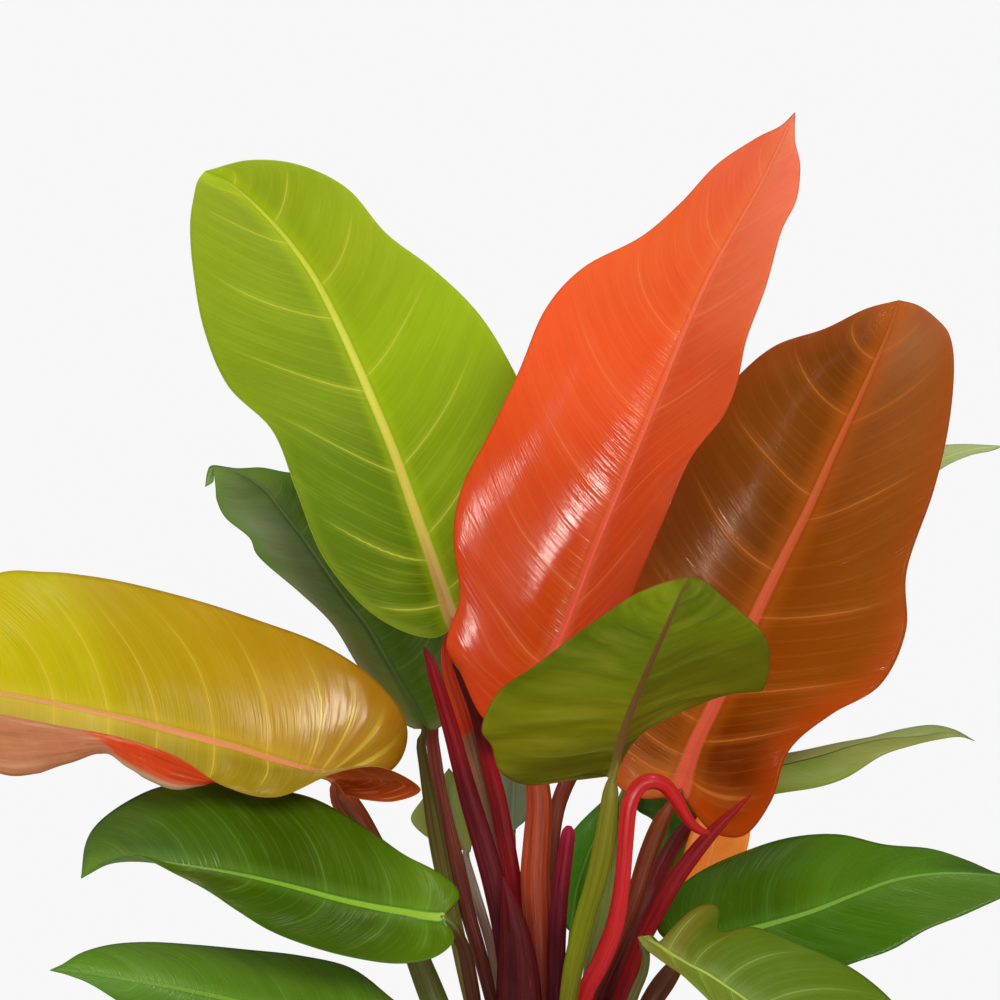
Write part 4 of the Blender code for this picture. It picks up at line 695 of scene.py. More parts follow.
# ---------------------------------------------------------------- materials
def rgb(code):
    """An sRGB hex colour as linear values."""
    c = [int(code[i:i + 2], 16) / 255 for i in (1, 3, 5)]
    return [x / 12.92 if x <= 0.04045 else ((x + 0.055) / 1.055) ** 2.4 for x in c] + [1.0]


class Tree:
    """Short names for the shader nodes used below."""

    def __init__(self, name):
        self.mat = bpy.data.materials.new(name)
        self.mat.use_nodes = True
        self.nt = self.mat.node_tree
        self.bsdf = self.nt.nodes["Principled BSDF"]

    def node(self, kind, **kw):
        n = self.nt.nodes.new(kind)
        for k, v in kw.items():
            setattr(n, k, v)
        return n

    def put(self, socket, value):
        if hasattr(value, "is_output"):
            self.nt.links.new(value, socket)
        elif value is not None:
            socket.default_value = value

    def attr(self, name):
        return self.node("ShaderNodeAttribute", attribute_name=name).outputs["Fac"]

    def math(self, op, a, b=0.0, c=0.0, clamp=False):
        n = self.node("ShaderNodeMath", operation=op, use_clamp=clamp)
        self.put(n.inputs[0], a); self.put(n.inputs[1], b); self.put(n.inputs[2], c)
        return n.outputs[0]

    def step(self, x, lo, hi, to_lo=0.0, to_hi=1.0):
        n = self.node("ShaderNodeMapRange", interpolation_type="SMOOTHSTEP")
        self.put(n.inputs["Value"], x)
        n.inputs["From Min"].default_value = lo
        n.inputs["From Max"].default_value = hi
        n.inputs["To Min"].default_value = to_lo
        n.inputs["To Max"].default_value = to_hi
        return n.outputs["Result"]

    def mix(self, fac, a, b, mode="MIX"):
        n = self.node("ShaderNodeMix", data_type="RGBA", blend_type=mode)
        self.put(n.inputs[0], fac); self.put(n.inputs[6], a); self.put(n.inputs[7], b)
        return n.outputs[2]

    def vector(self, x, y, z):
        n = self.node("ShaderNodeCombineXYZ")
        self.put(n.inputs[0], x); self.put(n.inputs[1], y); self.put(n.inputs[2], z)
        return n.outputs[0]

    def noise(self, vec, scale, detail=2.0, rough=0.5, distortion=0.0):
        n = self.node("ShaderNodeTexNoise")
        self.put(n.inputs["Vector"], vec)
        n.inputs["Scale"].default_value = scale
        n.inputs["Detail"].default_value = detail
        n.inputs["Roughness"].default_value = rough
        n.inputs["Distortion"].default_value = distortion
        return n.outputs["Fac"]

    def ramp(self, x, stops, interpolation="EASE"):
        n = self.node("ShaderNodeValToRGB")
        cr = n.color_ramp
        cr.interpolation = interpolation
        while len(cr.elements) < len(stops):
            cr.elements.new(0.5)
        for e, (pos, col) in zip(cr.elements, sorted(stops)):
            e.position = pos
            e.color = rgb(col)
        self.put(n.inputs["Fac"], x)
        return n.outputs["Color"]

    def bump(self, height, strength, distance, normal=None):
        n = self.node("ShaderNodeBump")
        n.inputs["Strength"].default_value = strength
        n.inputs["Distance"].default_value = distance
        self.put(n.inputs["Height"], height)
        if normal is not None:
            self.put(n.inputs["Normal"], normal)
        return n.outputs["Normal"]

    def object_coords(self):
        return self.node("ShaderNodeTexCoord").outputs["Object"]


def leaf_material(name, count, look):
    """Blade colours from the base to the tip, with veins, midrib, margin and fine cross striations."""
    t = Tree(name)
    S, T, V, F, gap = (t.attr(n) for n in ("S", "T", "V", "F", "gap"))
    rib, edge, under = (t.attr(n) for n in ("rib", "edge", "under"))
    s01 = t.math("DIVIDE", S, float(count))
    obj = t.object_coords()
    absT = t.math("ABSOLUTE", T)
    patch = t.noise(obj, 26.0, 3.0, 0.6)
    patch2 = t.noise(obj, 9.0, 2.0, 0.5)
    s_wob = t.math("ADD", s01, t.math("MULTIPLY", t.math("SUBTRACT", patch2, 0.5), look.get("wobble", 0.10)))
    left = t.ramp(s_wob, look["left"])
    right = t.ramp(s_wob, look.get("right", look["left"]))
    half = t.step(T, -0.04, 0.04)
    color = t.mix(half, left, right)
    # soft changes of tone in patches and along fine cross lines
    fine = t.noise(t.vector(t.math("MULTIPLY", F, 1.5), t.math("MULTIPLY", T, 2.2), t.math("MULTIPLY", under, 7.0)), 1.0, 3.0, 0.65)
    broad = t.noise(t.vector(t.math("MULTIPLY", F, 0.16), t.math("MULTIPLY", T, 1.3), t.math("MULTIPLY", under, 3.0)), 1.0, 2.0, 0.5)
    tone = t.math("ADD", t.math("MULTIPLY", t.math("SUBTRACT", fine, 0.5), look.get("fine", 0.22)),
                  t.math("ADD", t.math("MULTIPLY", t.math("SUBTRACT", broad, 0.5), look.get("broad", 0.30)),
                         t.math("MULTIPLY", t.math("SUBTRACT", patch, 0.5), look.get("patch", 0.30))))
    color = t.mix(t.math("MAXIMUM", tone, 0.0, clamp=True), color, rgb(look.get("light", "#ffffff")))
    color = t.mix(t.math("MULTIPLY", t.math("MAXIMUM", t.math("MULTIPLY", tone, -1.0), 0.0, clamp=True), 1.2, clamp=True), color, rgb(look.get("dark", "#000000")))
    # a glow toward the margin
    if look.get("glow"):
        g = t.step(edge, look.get("glow_mm", 12.0), 0.0)
        color = t.mix(t.math("MULTIPLY", g, look.get("glow_amount", 0.7)), color, t.ramp(s01, look["glow"]))
    # soft light band beside the midrib
    beside = t.step(rib, look.get("halo_mm", 9.0), 1.0)
    color = t.mix(t.math("MULTIPLY", beside, look.get("halo", 0.28)), color, rgb(look.get("halo_color", look["vein"])))
    # main lateral veins
    dv = t.math("MULTIPLY", t.math("ABSOLUTE", t.math("SUBTRACT", t.math("FRACT", t.math("ADD", V, 0.5)), 0.5)), gap)
    w = look.get("vein_mm", 0.55)
    wide = t.math("SUBTRACT", 1.0, t.math("MULTIPLY", absT, 0.55))
    line = t.step(t.math("DIVIDE", dv, wide), w, w * 0.25)
    halo = t.step(t.math("DIVIDE", dv, wide), w * 6.0, 0.0)
    reach = t.math("MULTIPLY", t.step(absT, 0.97, 0.50), t.step(s01, 0.985, 0.90))
    reach = t.math("MULTIPLY", reach, t.step(S, 0.8, 1.8))
    vary = t.math("ADD", 0.65, t.math("MULTIPLY", patch, 0.7))
    vein = t.math("MULTIPLY", t.math("ADD", t.math("MULTIPLY", line, 0.72), t.math("MULTIPLY", halo, 0.28)), t.math("MULTIPLY", reach, vary))
    vein = t.math("MULTIPLY", vein, look.get("veins", 0.6), clamp=True)
    color = t.mix(vein, color, rgb(look["vein"]))
    # faint finer veins between the main ones
    d2 = t.math("ABSOLUTE", t.math("SUBTRACT", t.math("FRACT", t.math("MULTIPLY", V, 5.0)), 0.5))
    thin = t.math("MULTIPLY", t.step(d2, 0.12, 0.0), t.math("MULTIPLY", reach, look.get("net", 0.10)))
    color = t.mix(thin, color, rgb(look["vein"]))
    # midrib
    taper = t.math("SUBTRACT", 1.0, s01)
    mw = t.math("ADD", look.get("rib_tip", 0.35), t.math("MULTIPLY", t.math("POWER", taper, look.get("rib_power", 1.0)), look.get("rib_mm", 2.6)))
    ratio = t.math("DIVIDE", rib, mw)
    band = t.step(ratio, 1.0, 0.62)
    color = t.mix(t.math("MULTIPLY", band, look.get("rib_amount", 0.95)), color, t.ramp(s01, look["rib"]))
    side = t.math("MULTIPLY", t.step(ratio, 0.85, 1.02), t.step(ratio, 1.7, 1.05))
    color = t.mix(t.math("MULTIPLY", side, look.get("rib_shadow", 0.22)), color, rgb(look.get("dark", "#000000")))
    # margin
    m = t.step(edge, look.get("margin_mm", 0.45), look.get("margin_mm", 0.45) * 0.2)
    color = t.mix(t.math("MULTIPLY", m, look.get("margin_amount", 0.6)), color, rgb(look["margin"]))
    # underside
    if "under_ramp" in look:
        if look.get("under_slant"):
            x = t.math("ADD", s01, t.math("MULTIPLY", t.math("SUBTRACT", 1.0, absT), look["under_slant"]))
            low = t.ramp(x, look["under_ramp"], "LINEAR")
        else:
            low = t.ramp(s_wob, look["under_ramp"])
        if "under_right" in look:
            low = t.mix(half, low, t.ramp(s_wob, look["under_right"]))
        # lighter and darker tone on the underside is painted light and shade: the streaky sheen of the left leaf and
        # the waves of the front leaf
        low = t.mix(t.math("MULTIPLY", t.math("MAXIMUM", tone, 0.0, clamp=True), look.get("under_tone", 1.0)), low, rgb(look.get("under_light", "#ffe8c8")))
        low = t.mix(t.math("MULTIPLY", t.math("MAXIMUM", t.math("MULTIPLY", tone, -1.0), 0.0, clamp=True), look.get("under_tone", 1.0)), low, rgb(look.get("under_dark", "#3a1c08")))
        # a pale tan patch on the underside is a painted highlight
        if look.get("under_highlight_patch"):
            s0, s1, s2, s3, t0, t1, tint = look["under_highlight_patch"]
            highlight_patch_mask = t.math("MULTIPLY", t.math("MULTIPLY", t.step(S, s0, s1), t.step(S, s3, s2)), t.step(absT, t1, t0))
            low = t.mix(t.math("MULTIPLY", highlight_patch_mask, half), low, rgb(tint))
        # light and dark runs along the underside paint its streaky sheen
        if look.get("under_sheen_streak"):
            runs = t.noise(t.vector(t.math("MULTIPLY", S, 0.45), t.math("MULTIPLY", T, 15.0), 4.0), 1.0, 4.0, 0.62)
            low = t.mix(t.math("MULTIPLY", t.step(runs, 0.50, 0.24), look["under_sheen_streak"]), low, rgb(look.get("under_dark", "#3a1c08")))
            low = t.mix(t.math("MULTIPLY", t.step(runs, 0.52, 0.74), look["under_sheen_streak"]), low, rgb(look.get("under_light", "#ffe8c8")))
        if look.get("under_far"):
            low = t.mix(half, t.ramp(s_wob, look["under_far"]), low)
        low = t.mix(t.math("MULTIPLY", vein, look.get("under_veins", 0.5)), low, rgb(look.get("under_vein", look["vein"])))
        low = t.mix(t.math("MULTIPLY", band, 0.9), low, t.ramp(s01, look.get("under_rib", look["rib"])))
        low = t.mix(t.math("MULTIPLY", m, look.get("margin_amount", 0.6)), low, rgb(look["margin"]))
    else:
        low = t.mix(look.get("under_amount", 0.45), color, rgb(look.get("under", "#8fa060")))
        low = t.mix(t.math("MULTIPLY", band, 0.85), low, t.ramp(s01, look.get("under_rib", look["rib"])))
    color = t.mix(under, color, low)
    t.put(t.bsdf.inputs["Base Color"], color)
    # gloss: a wax film broken by the fine cross striations
    rough = t.math("ADD", look.get("rough", 0.30), t.math("MULTIPLY", t.math("SUBTRACT", fine, 0.5), 0.12), clamp=True)
    rough = t.math("ADD", rough, t.math("MULTIPLY", t.math("SUBTRACT", patch, 0.5), 0.08), clamp=True)
    rough = t.math("ADD", rough, t.math("MULTIPLY", under, 0.16), clamp=True)
    t.put(t.bsdf.inputs["Roughness"], rough)
    if look.get("shine"):
        # how waxy the skin is from the base to the tip
        bright = t.node("ShaderNodeSeparateXYZ")
        t.put(bright.inputs[0], t.ramp(s01, [(p, "#%02x%02x%02x" % ((int(255 * (v ** (1 / 2.2))),) * 3)) for p, v in look["shine"]]))
        level = t.math("MULTIPLY", bright.outputs[0], look.get("specular", 0.30))
        t.put(t.bsdf.inputs["Specular IOR Level"], t.math("MULTIPLY", level, t.math("SUBTRACT", 1.0, t.math("MULTIPLY", under, 0.7))))
    else:
        t.bsdf.inputs["Specular IOR Level"].default_value = look.get("specular", 0.30)
    t.bsdf.inputs["Specular Tint"].default_value = (*look.get("tint", (1.0, 0.95, 0.72)), 1.0)
    if look.get("coat", 0.0):
        t.bsdf.inputs["Coat Weight"].default_value = look["coat"]
        t.bsdf.inputs["Coat Roughness"].default_value = 0.2
    streak = t.noise(t.vector(t.math("MULTIPLY", F, look.get("brush", 0.75)), t.math("MULTIPLY", T, 2.4), under), 1.0, look.get("brush_detail", 1.5), 0.6)
    h = t.math("ADD", t.math("MULTIPLY", fine, 0.2), t.math("MULTIPLY", streak, 0.8))
    h = t.math("ADD", h, t.math("MULTIPLY", t.noise(obj, 900.0, 2.0, 0.6), 0.06))
    h = t.math("SUBTRACT", h, t.math("MULTIPLY", vein, 0.5))
    n = t.bump(h, 1.0, 0.0005 * look.get("bump", 0.5))
    t.put(t.bsdf.inputs["Normal"], n)
    # emission paints the light that shines through the thin young blade
    if look.get("painted_glow_through", 0.0):
        t.put(t.bsdf.inputs["Emission Color"], color)
        t.bsdf.inputs["Emission Strength"].default_value = look["painted_glow_through"]
    if look.get("through", 0.0):
        t.bsdf.inputs["Subsurface Weight"].default_value = look["through"]
        t.bsdf.inputs["Subsurface Radius"].default_value = (0.002, 0.001, 0.0004)
        t.bsdf.inputs["Subsurface Scale"].default_value = 0.4
    return t.mat


def stem_material(name, stops, streak_dark="#2a0a08", streak_light="#d8b090", rough=0.38, streak=0.5, coat=0.0, bump=0.4, specular=0.22, tint=(1.0, 0.86, 0.76)):
    """Petiole skin: colour along its length, long streaks, fine ribs and a soft gloss."""
    t = Tree(name)
    L, cx, sx = t.attr("L"), t.attr("cx"), t.attr("sx")
    obj = t.object_coords()
    wob = t.math("ADD", L, t.math("MULTIPLY", t.math("SUBTRACT", t.noise(obj, 40.0, 2.0), 0.5), 0.12))
    color = t.ramp(wob, stops)
    streaks = t.noise(t.vector(t.math("MULTIPLY", cx, 2.2), t.math("MULTIPLY", sx, 2.2), t.math("MULTIPLY", L, 2.6)), 2.4, 4.0, 0.6)
    fine = t.noise(t.vector(t.math("MULTIPLY", cx, 9.0), t.math("MULTIPLY", sx, 9.0), t.math("MULTIPLY", L, 9.0)), 2.0, 3.0, 0.6)
    color = t.mix(t.math("MULTIPLY", t.step(streaks, 0.52, 0.78), streak), color, rgb(streak_light))
    color = t.mix(t.math("MULTIPLY", t.step(streaks, 0.48, 0.22), streak), color, rgb(streak_dark))
    color = t.mix(t.math("MULTIPLY", t.step(fine, 0.45, 0.2), 0.35), color, rgb(streak_dark))
    lines = t.noise(t.vector(t.math("MULTIPLY", cx, 13.0), t.math("MULTIPLY", sx, 13.0), t.math("MULTIPLY", L, 4.0)), 1.0, 3.0, 0.65)
    color = t.mix(t.math("MULTIPLY", t.step(lines, 0.50, 0.26), 0.38), color, rgb(streak_dark))
    color = t.mix(t.math("MULTIPLY", t.step(lines, 0.54, 0.78), 0.26), color, rgb(streak_light))
    bands = t.noise(t.vector(t.math("MULTIPLY", cx, 1.2), t.math("MULTIPLY", sx, 1.2), t.math("MULTIPLY", L, 0.7)), 1.6, 1.0, 0.5)
    color = t.mix(t.math("MULTIPLY", t.step(bands, 0.50, 0.34), 0.45), color, rgb(streak_dark))
    speck = t.noise(obj, 620.0, 1.0, 0.4)
    color = t.mix(t.math("MULTIPLY", t.step(speck, 0.76, 0.86), 0.3), color, rgb(streak_light))
    t.put(t.bsdf.inputs["Base Color"], color)
    t.put(t.bsdf.inputs["Roughness"], t.math("ADD", rough, t.math("MULTIPLY", t.math("SUBTRACT", fine, 0.5), 0.25), clamp=True))
    t.bsdf.inputs["Specular IOR Level"].default_value = specular
    t.bsdf.inputs["Specular Tint"].default_value = (*tint, 1.0)
    if coat:
        t.bsdf.inputs["Coat Weight"].default_value = coat
        t.bsdf.inputs["Coat Roughness"].default_value = 0.2
    h = t.math("ADD", t.math("MULTIPLY", fine, 0.7), t.math("MULTIPLY", t.noise(obj, 700.0, 2.0), 0.3))
    t.put(t.bsdf.inputs["Normal"], t.bump(h, bump, 0.0004))
    return t.mat


# ---------------------------------------------------------------- stems and sheaths
def frames_along(points, first_side):
    """Tangents and a side vector carried along a line without twisting."""
    tangent = unit(np.gradient(points, axis=0))
    sides = []
    side = np.asarray(first_side, float)
    for t in tangent:
        side = side - t * (side @ t)
        side = side / max(np.linalg.norm(side), 1e-9)
        sides.append(side.copy())
    sides = np.array(sides)
    return tangent, sides, unit(np.cross(tangent, sides))


def tube(name, centre, wide, deep, tangent, shape, rings_l, sides):
    """Closed tube: shape(k, angles) gives the offsets along the two section axes for ring k."""
    n = len(centre)
    ang = np.linspace(0, 2 * math.pi, sides, endpoint=False)
    verts, L, cx, sx = [], [], [], []
    for k in range(n):
        x, y = shape(k, ang)
        ring = centre[k] + np.outer(x, wide[k]) + np.outer(y, deep[k])
        verts.append(ring)
        L.append(np.full(sides, rings_l[k])); cx.append(np.cos(ang)); sx.append(np.sin(ang))
    verts = np.array(verts).reshape(-1, 3)
    faces = []
    for k in range(n - 1):
        for i in range(sides):
            j = (i + 1) % sides
            faces.append((k * sides + i, k * sides + j, (k + 1) * sides + j, (k + 1) * sides + i))
    top, end = len(verts), len(verts) + 1
    verts = np.vstack([verts, centre[0] - tangent[0] * 0.0002, centre[-1] + tangent[-1] * 0.0002])
    for i in range(sides):
        j = (i + 1) % sides
        faces.append((j, i, top))
        faces.append(((n - 1) * sides + i, (n - 1) * sides + j, end))
    mesh = build_mesh(name, verts, faces)
    L = np.concatenate([np.ravel(L), [rings_l[0], rings_l[-1]]])
    cx = np.concatenate([np.ravel(cx), [0, 0]]); sx = np.concatenate([np.ravel(sx), [0, 0]])
    add_float(mesh, "L", L); add_float(mesh, "cx", cx); add_float(mesh, "sx", sx)
    add_uv(mesh, np.stack([np.arctan2(sx, cx) / (2 * math.pi) + 0.5, L], -1))
    bm = bmesh.new(); bm.from_mesh(mesh)
    bmesh.ops.recalc_face_normals(bm, faces=bm.faces)
    bm.to_mesh(mesh); bm.free()
    return mesh


def blade_foot(leaf):
    """Two points inside the thick end of the midrib, where the petiole runs in."""
    spec = LEAVES.get(leaf) or ARCHED[leaf]
    lists = sheet_leaf(spec) if "stations" in spec else arched_leaf(spec)
    s = np.array([0.35, 1.1, 2.0]) if "stations" in spec else np.array([0.15, 0.5, 0.9])
    m, a, b = spline(lists[0], s), spline(lists[1], s), spline(lists[2], s)
    along = unit(spline(lists[0], s + 0.2) - spline(lists[0], s - 0.2))
    upper = unit(np.cross(along, b - a)) * UPPER[leaf]
    return m, upper


def rooted(data):
    """Adds a last point inside the crown: there the foot of a stem or sheath is grown together with it."""
    x, y, z = data[-1, :3]
    r = math.hypot(x, y)
    inner = min(r, 0.008)
    foot = data[-1].copy()
    foot[:3] = (x * inner / r, y * inner / r, max(min(z, 0.186) - 0.5 * (r - inner) - 0.004, 0.156))
    return np.vstack([data, foot])


def fine_stem(name, spec, leaf=None, rings=64, sides=24, channel=0.16, ribs=0.05, seed=1, swell=0.0):
    pts = rooted(np.array([[*front(u, v, d), r / 1000] for u, v, d, r in spec["points"]]))
    if leaf:
        m, upper = blade_foot(leaf)
        foot = [[*(m[2] - upper[2] * 0.0010), 0.0004], [*(m[1] - upper[1] * 0.0012), 0.0009], [*(m[0] - upper[0] * 0.0010), 0.0013]]
        if np.linalg.norm(m[0] - pts[0, :3]) < 0.0005:
            foot = foot[:2]
        r_first = max(pts[0, 3], 0.0014)
        pts[0, 3] = r_first
        pts = np.vstack([foot, pts])
    seg = np.linalg.norm(np.diff(pts[:, :3], axis=0), axis=1)
    keep = np.concatenate([[True], seg > 1e-5])
    pts = pts[keep]
    seg = np.linalg.norm(np.diff(pts[:, :3], axis=0), axis=1)
    dist = np.concatenate([[0], np.cumsum(seg)])
    # read the curve at even distances
    at = np.interp(np.linspace(0, dist[-1], rings), dist, np.arange(len(pts)))
    line = spline(pts, at)
    centre, radius = line[:, :3], np.maximum(line[:, 3], 0.0003)
    L = np.linspace(0, 1, rings)
    tangent, wide, deep = frames_along(centre, np.cross(np.gradient(centre, axis=0)[0], (0, 1, 0)) + np.array((1e-6, 0, 0)))
    rng = np.random.default_rng(seed)
    ph = rng.uniform(0, 6.28, 4)
    front_angle = rng.uniform(-0.5, 0.5)

    def shape(k, ang):
        # a shallow channel runs down one side of the stem; fine ribs run the whole length
        a = ang - math.pi / 2 * (1 if True else -1)
        ch = channel * np.exp(-((((ang + math.pi / 2 + math.pi) % (2 * math.pi)) - math.pi) / 0.55) ** 2) * smooth(0.02, 0.2, L[k])
        rib = ribs * (0.5 * np.cos(9 * ang + ph[0]) + 0.5 * np.cos(14 * ang + ph[1] + 3 * L[k]))
        lump = 0.05 * math.sin(9 * L[k] + ph[2]) + 0.03 * math.sin(23 * L[k] + ph[3])
        r = radius[k] * (1 + lump + rib - ch + swell * math.exp(-((L[k] - 0.97) / 0.05) ** 2))
        return r * np.cos(ang) * 1.06, r * np.sin(ang) * 0.94

    return tube(name + "_fine", centre, wide, deep, tangent, shape, L, sides)


def fine_sheath(name, spec, rings=90, sides=40, ribs=0.06, wrap=0.16, seed=1, turn=0.9, start=-1.9):
    """Rolled sheath: the section is a flat spiral, so its overlapping edge runs down the front."""
    data = rooted(np.array([[*front(u, v, d), rw / 1000, rd / 1000] for u, v, d, rw, rd in spec["points"]]))
    seg = np.linalg.norm(np.diff(data[:, :3], axis=0), axis=1)
    dist = np.concatenate([[0], np.cumsum(seg)])
    even = np.linspace(0, 1, rings) ** 1.15 * dist[-1]
    line = spline(data, np.interp(even, dist, np.arange(len(data))))
    centre, rw, rd = line[:, :3], np.maximum(line[:, 3], 0.0003), np.maximum(line[:, 4], 0.0003)
    tangent = unit(np.gradient(centre, axis=0))
    back = np.array((0.0, 1.0, 0.0))
    wide = unit(np.cross(tangent, back))
    deep = unit(np.cross(wide, tangent))
    L = even / dist[-1]
    rng = np.random.default_rng(seed)
    ph = rng.uniform(0, 6.28, 4)

    def shape(k, ang):
        a0 = start + turn * L[k]
        w = ((ang - a0) % (2 * math.pi)) / (2 * math.pi)
        spiral = 1 - wrap * smooth(0.0, 1.0, w) * smooth(0.0, 0.12, L[k])
        n_ribs = 15
        rib = ribs * np.cos(n_ribs * ang + ph[0]) + 0.4 * ribs * np.cos(2 * n_ribs * ang + ph[1])
        rib = rib * smooth(0.0, 0.10, L[k])
        lump = 0.03 * math.sin(7 * L[k] + ph[2])
        r = spiral + rib * 0.6 + lump
        return rw[k] * np.cos(ang) * r, rd[k] * np.sin(ang) * r

    return tube(name + "_fine", centre, wide, deep, tangent, shape, L, sides)


# ---------------------------------------------------------------- pot, mix and crown
def pot_radius(z):
    return POT_BASE_RADIUS + (POT_TOP_RADIUS - POT_BAND_STEP - POT_BASE_RADIUS) * z / POT_HEIGHT


def spin(name, profile, steps, wobble=0.0, seed=3):
    """Turn a (radius, height) profile about Z into a closed mesh."""
    prof = np.array(profile)
    ang = np.linspace(0, 2 * math.pi, steps, endpoint=False)
    verts, faces, ids = [], [], []
    for r, z in prof:
        if r < 1e-6:
            ids.append([len(verts)] * steps); verts.append((0, 0, z)); continue
        row = []
        for a in ang:
            row.append(len(verts))
            verts.append((r * math.cos(a), r * math.sin(a), z))
        ids.append(row)
    for lo, hi in zip(ids, ids[1:]):
        for i in range(steps):
            j = (i + 1) % steps
            f = []
            for x in (lo[i], lo[j], hi[j], hi[i]):
                if x not in f:
                    f.append(x)
            if len(f) > 2:
                faces.append(tuple(f))
    verts = np.array(verts, float)
    if wobble:
        w = waves(verts, 60.0, seed) * wobble
        rad = unit(verts * np.array((1, 1, 0)) + np.array((1e-9, 0, 0)))
        verts = verts + rad * w[:, None]
    return build_mesh(name, verts, faces)


def arc_points(points, steps=5):
    """Round the corners of a profile: each inner point has its own radius."""
    out = []
    for i, p in enumerate(points):
        r = p[2] if len(p) > 2 else 0.0
        p0 = np.array(p[:2], float)
        if r <= 0 or i in (0, len(points) - 1):
            out.append(p0); continue
        a = np.array(points[i - 1][:2], float) - p0
        b = np.array(points[i + 1][:2], float) - p0
        la, lb = np.linalg.norm(a), np.linalg.norm(b)
        t = min(r, la * 0.45, lb * 0.45)
        s, e = p0 + a / la * t, p0 + b / lb * t
        for k in range(steps + 1):
            f = k / steps
            out.append((1 - f) ** 2 * s + 2 * f * (1 - f) * p0 + f * f * e)
    return [tuple(x) for x in out]


def fine_pot():
    """Thrown clay pot with a rolled rim band, soft corners and three drain holes."""
    band = POT_HEIGHT - POT_BAND_HEIGHT
    inner_top = POT_TOP_RADIUS - POT_BAND_STEP - POT_WALL
    inner_low = pot_radius(POT_FLOOR) - POT_WALL
    corner = [(0.0, POT_FLOOR), (inner_low, POT_FLOOR, 0.006), (inner_top, POT_HEIGHT - 0.0025, 0.003), (inner_top + 0.001, POT_HEIGHT, 0.003),
              (POT_TOP_RADIUS - 0.0005, POT_HEIGHT, 0.004), (POT_TOP_RADIUS, POT_HEIGHT - 0.006, 0.004),
              (POT_TOP_RADIUS - 0.0012, band, 0.003), (pot_radius(band) + 0.0004, band - 0.0006, 0.003), (pot_radius(band - 0.012), band - 0.012),
              (pot_radius(0.07), 0.07), (pot_radius(0.035), 0.035), (pot_radius(0.0) - 0.0002, 0.0, 0.004), (0.0, 0.0)]
    prof = []
    pts = arc_points(corner, 6)
    for a, b in zip(pts, pts[1:]):
        a, b = np.array(a), np.array(b)
        n = max(1, int(np.linalg.norm(b - a) / 0.0018))
        for k in range(n):
            prof.append(tuple(a + (b - a) * k / n))
    prof.append(pts[-1])
    # faint throwing rings on the outer wall
    rings = []
    for r, z in prof:
        if r > inner_top - 0.03 and z > 0.006 and r > pot_radius(z) - 0.0012:
            r += 0.00010 * math.sin(z * 700) + 0.00006 * math.sin(z * 410 + 1.0)
        rings.append((r, z))
    mesh = spin("pot_fine", rings, 168)
    obj = bpy.data.objects.new("pot_shell", mesh)
    bpy.context.scene.collection.objects.link(obj)
    for k in range(3):
        bpy.ops.mesh.primitive_cylinder_add(vertices=32, radius=DRAIN_RADIUS, depth=0.04)
        cutter = bpy.context.object
        a = math.radians(90 + 120 * k)
        cutter.location = (DRAIN_CIRCLE * math.cos(a), DRAIN_CIRCLE * math.sin(a), 0.004)
        hole = obj.modifiers.new("drain", "BOOLEAN")
        hole.operation, hole.solver, hole.object = "DIFFERENCE", "EXACT", cutter
        bpy.context.view_layer.objects.active = obj
        for o in bpy.context.selected_objects:
            o.select_set(False)
        obj.select_set(True)
        bpy.ops.object.modifier_apply(modifier="drain")
        bpy.data.objects.remove(cutter)
    return obj


def soil_height(x, y):
    """Potting mix surface: a little uneven, mounded toward the crown and low at the wall."""
    p = np.stack([x, y, np.zeros_like(x)], -1)
    r = np.hypot(x, y)
    h = SOIL_TOP + 0.0022 * (1 - smooth(0.02, 0.07, r)) + 0.0012 * waves(p, 150.0, 11) + 0.0007 * waves(p, 420.0, 12) + 0.0004 * waves(p, 1100.0, 13)
    return h - 0.0012


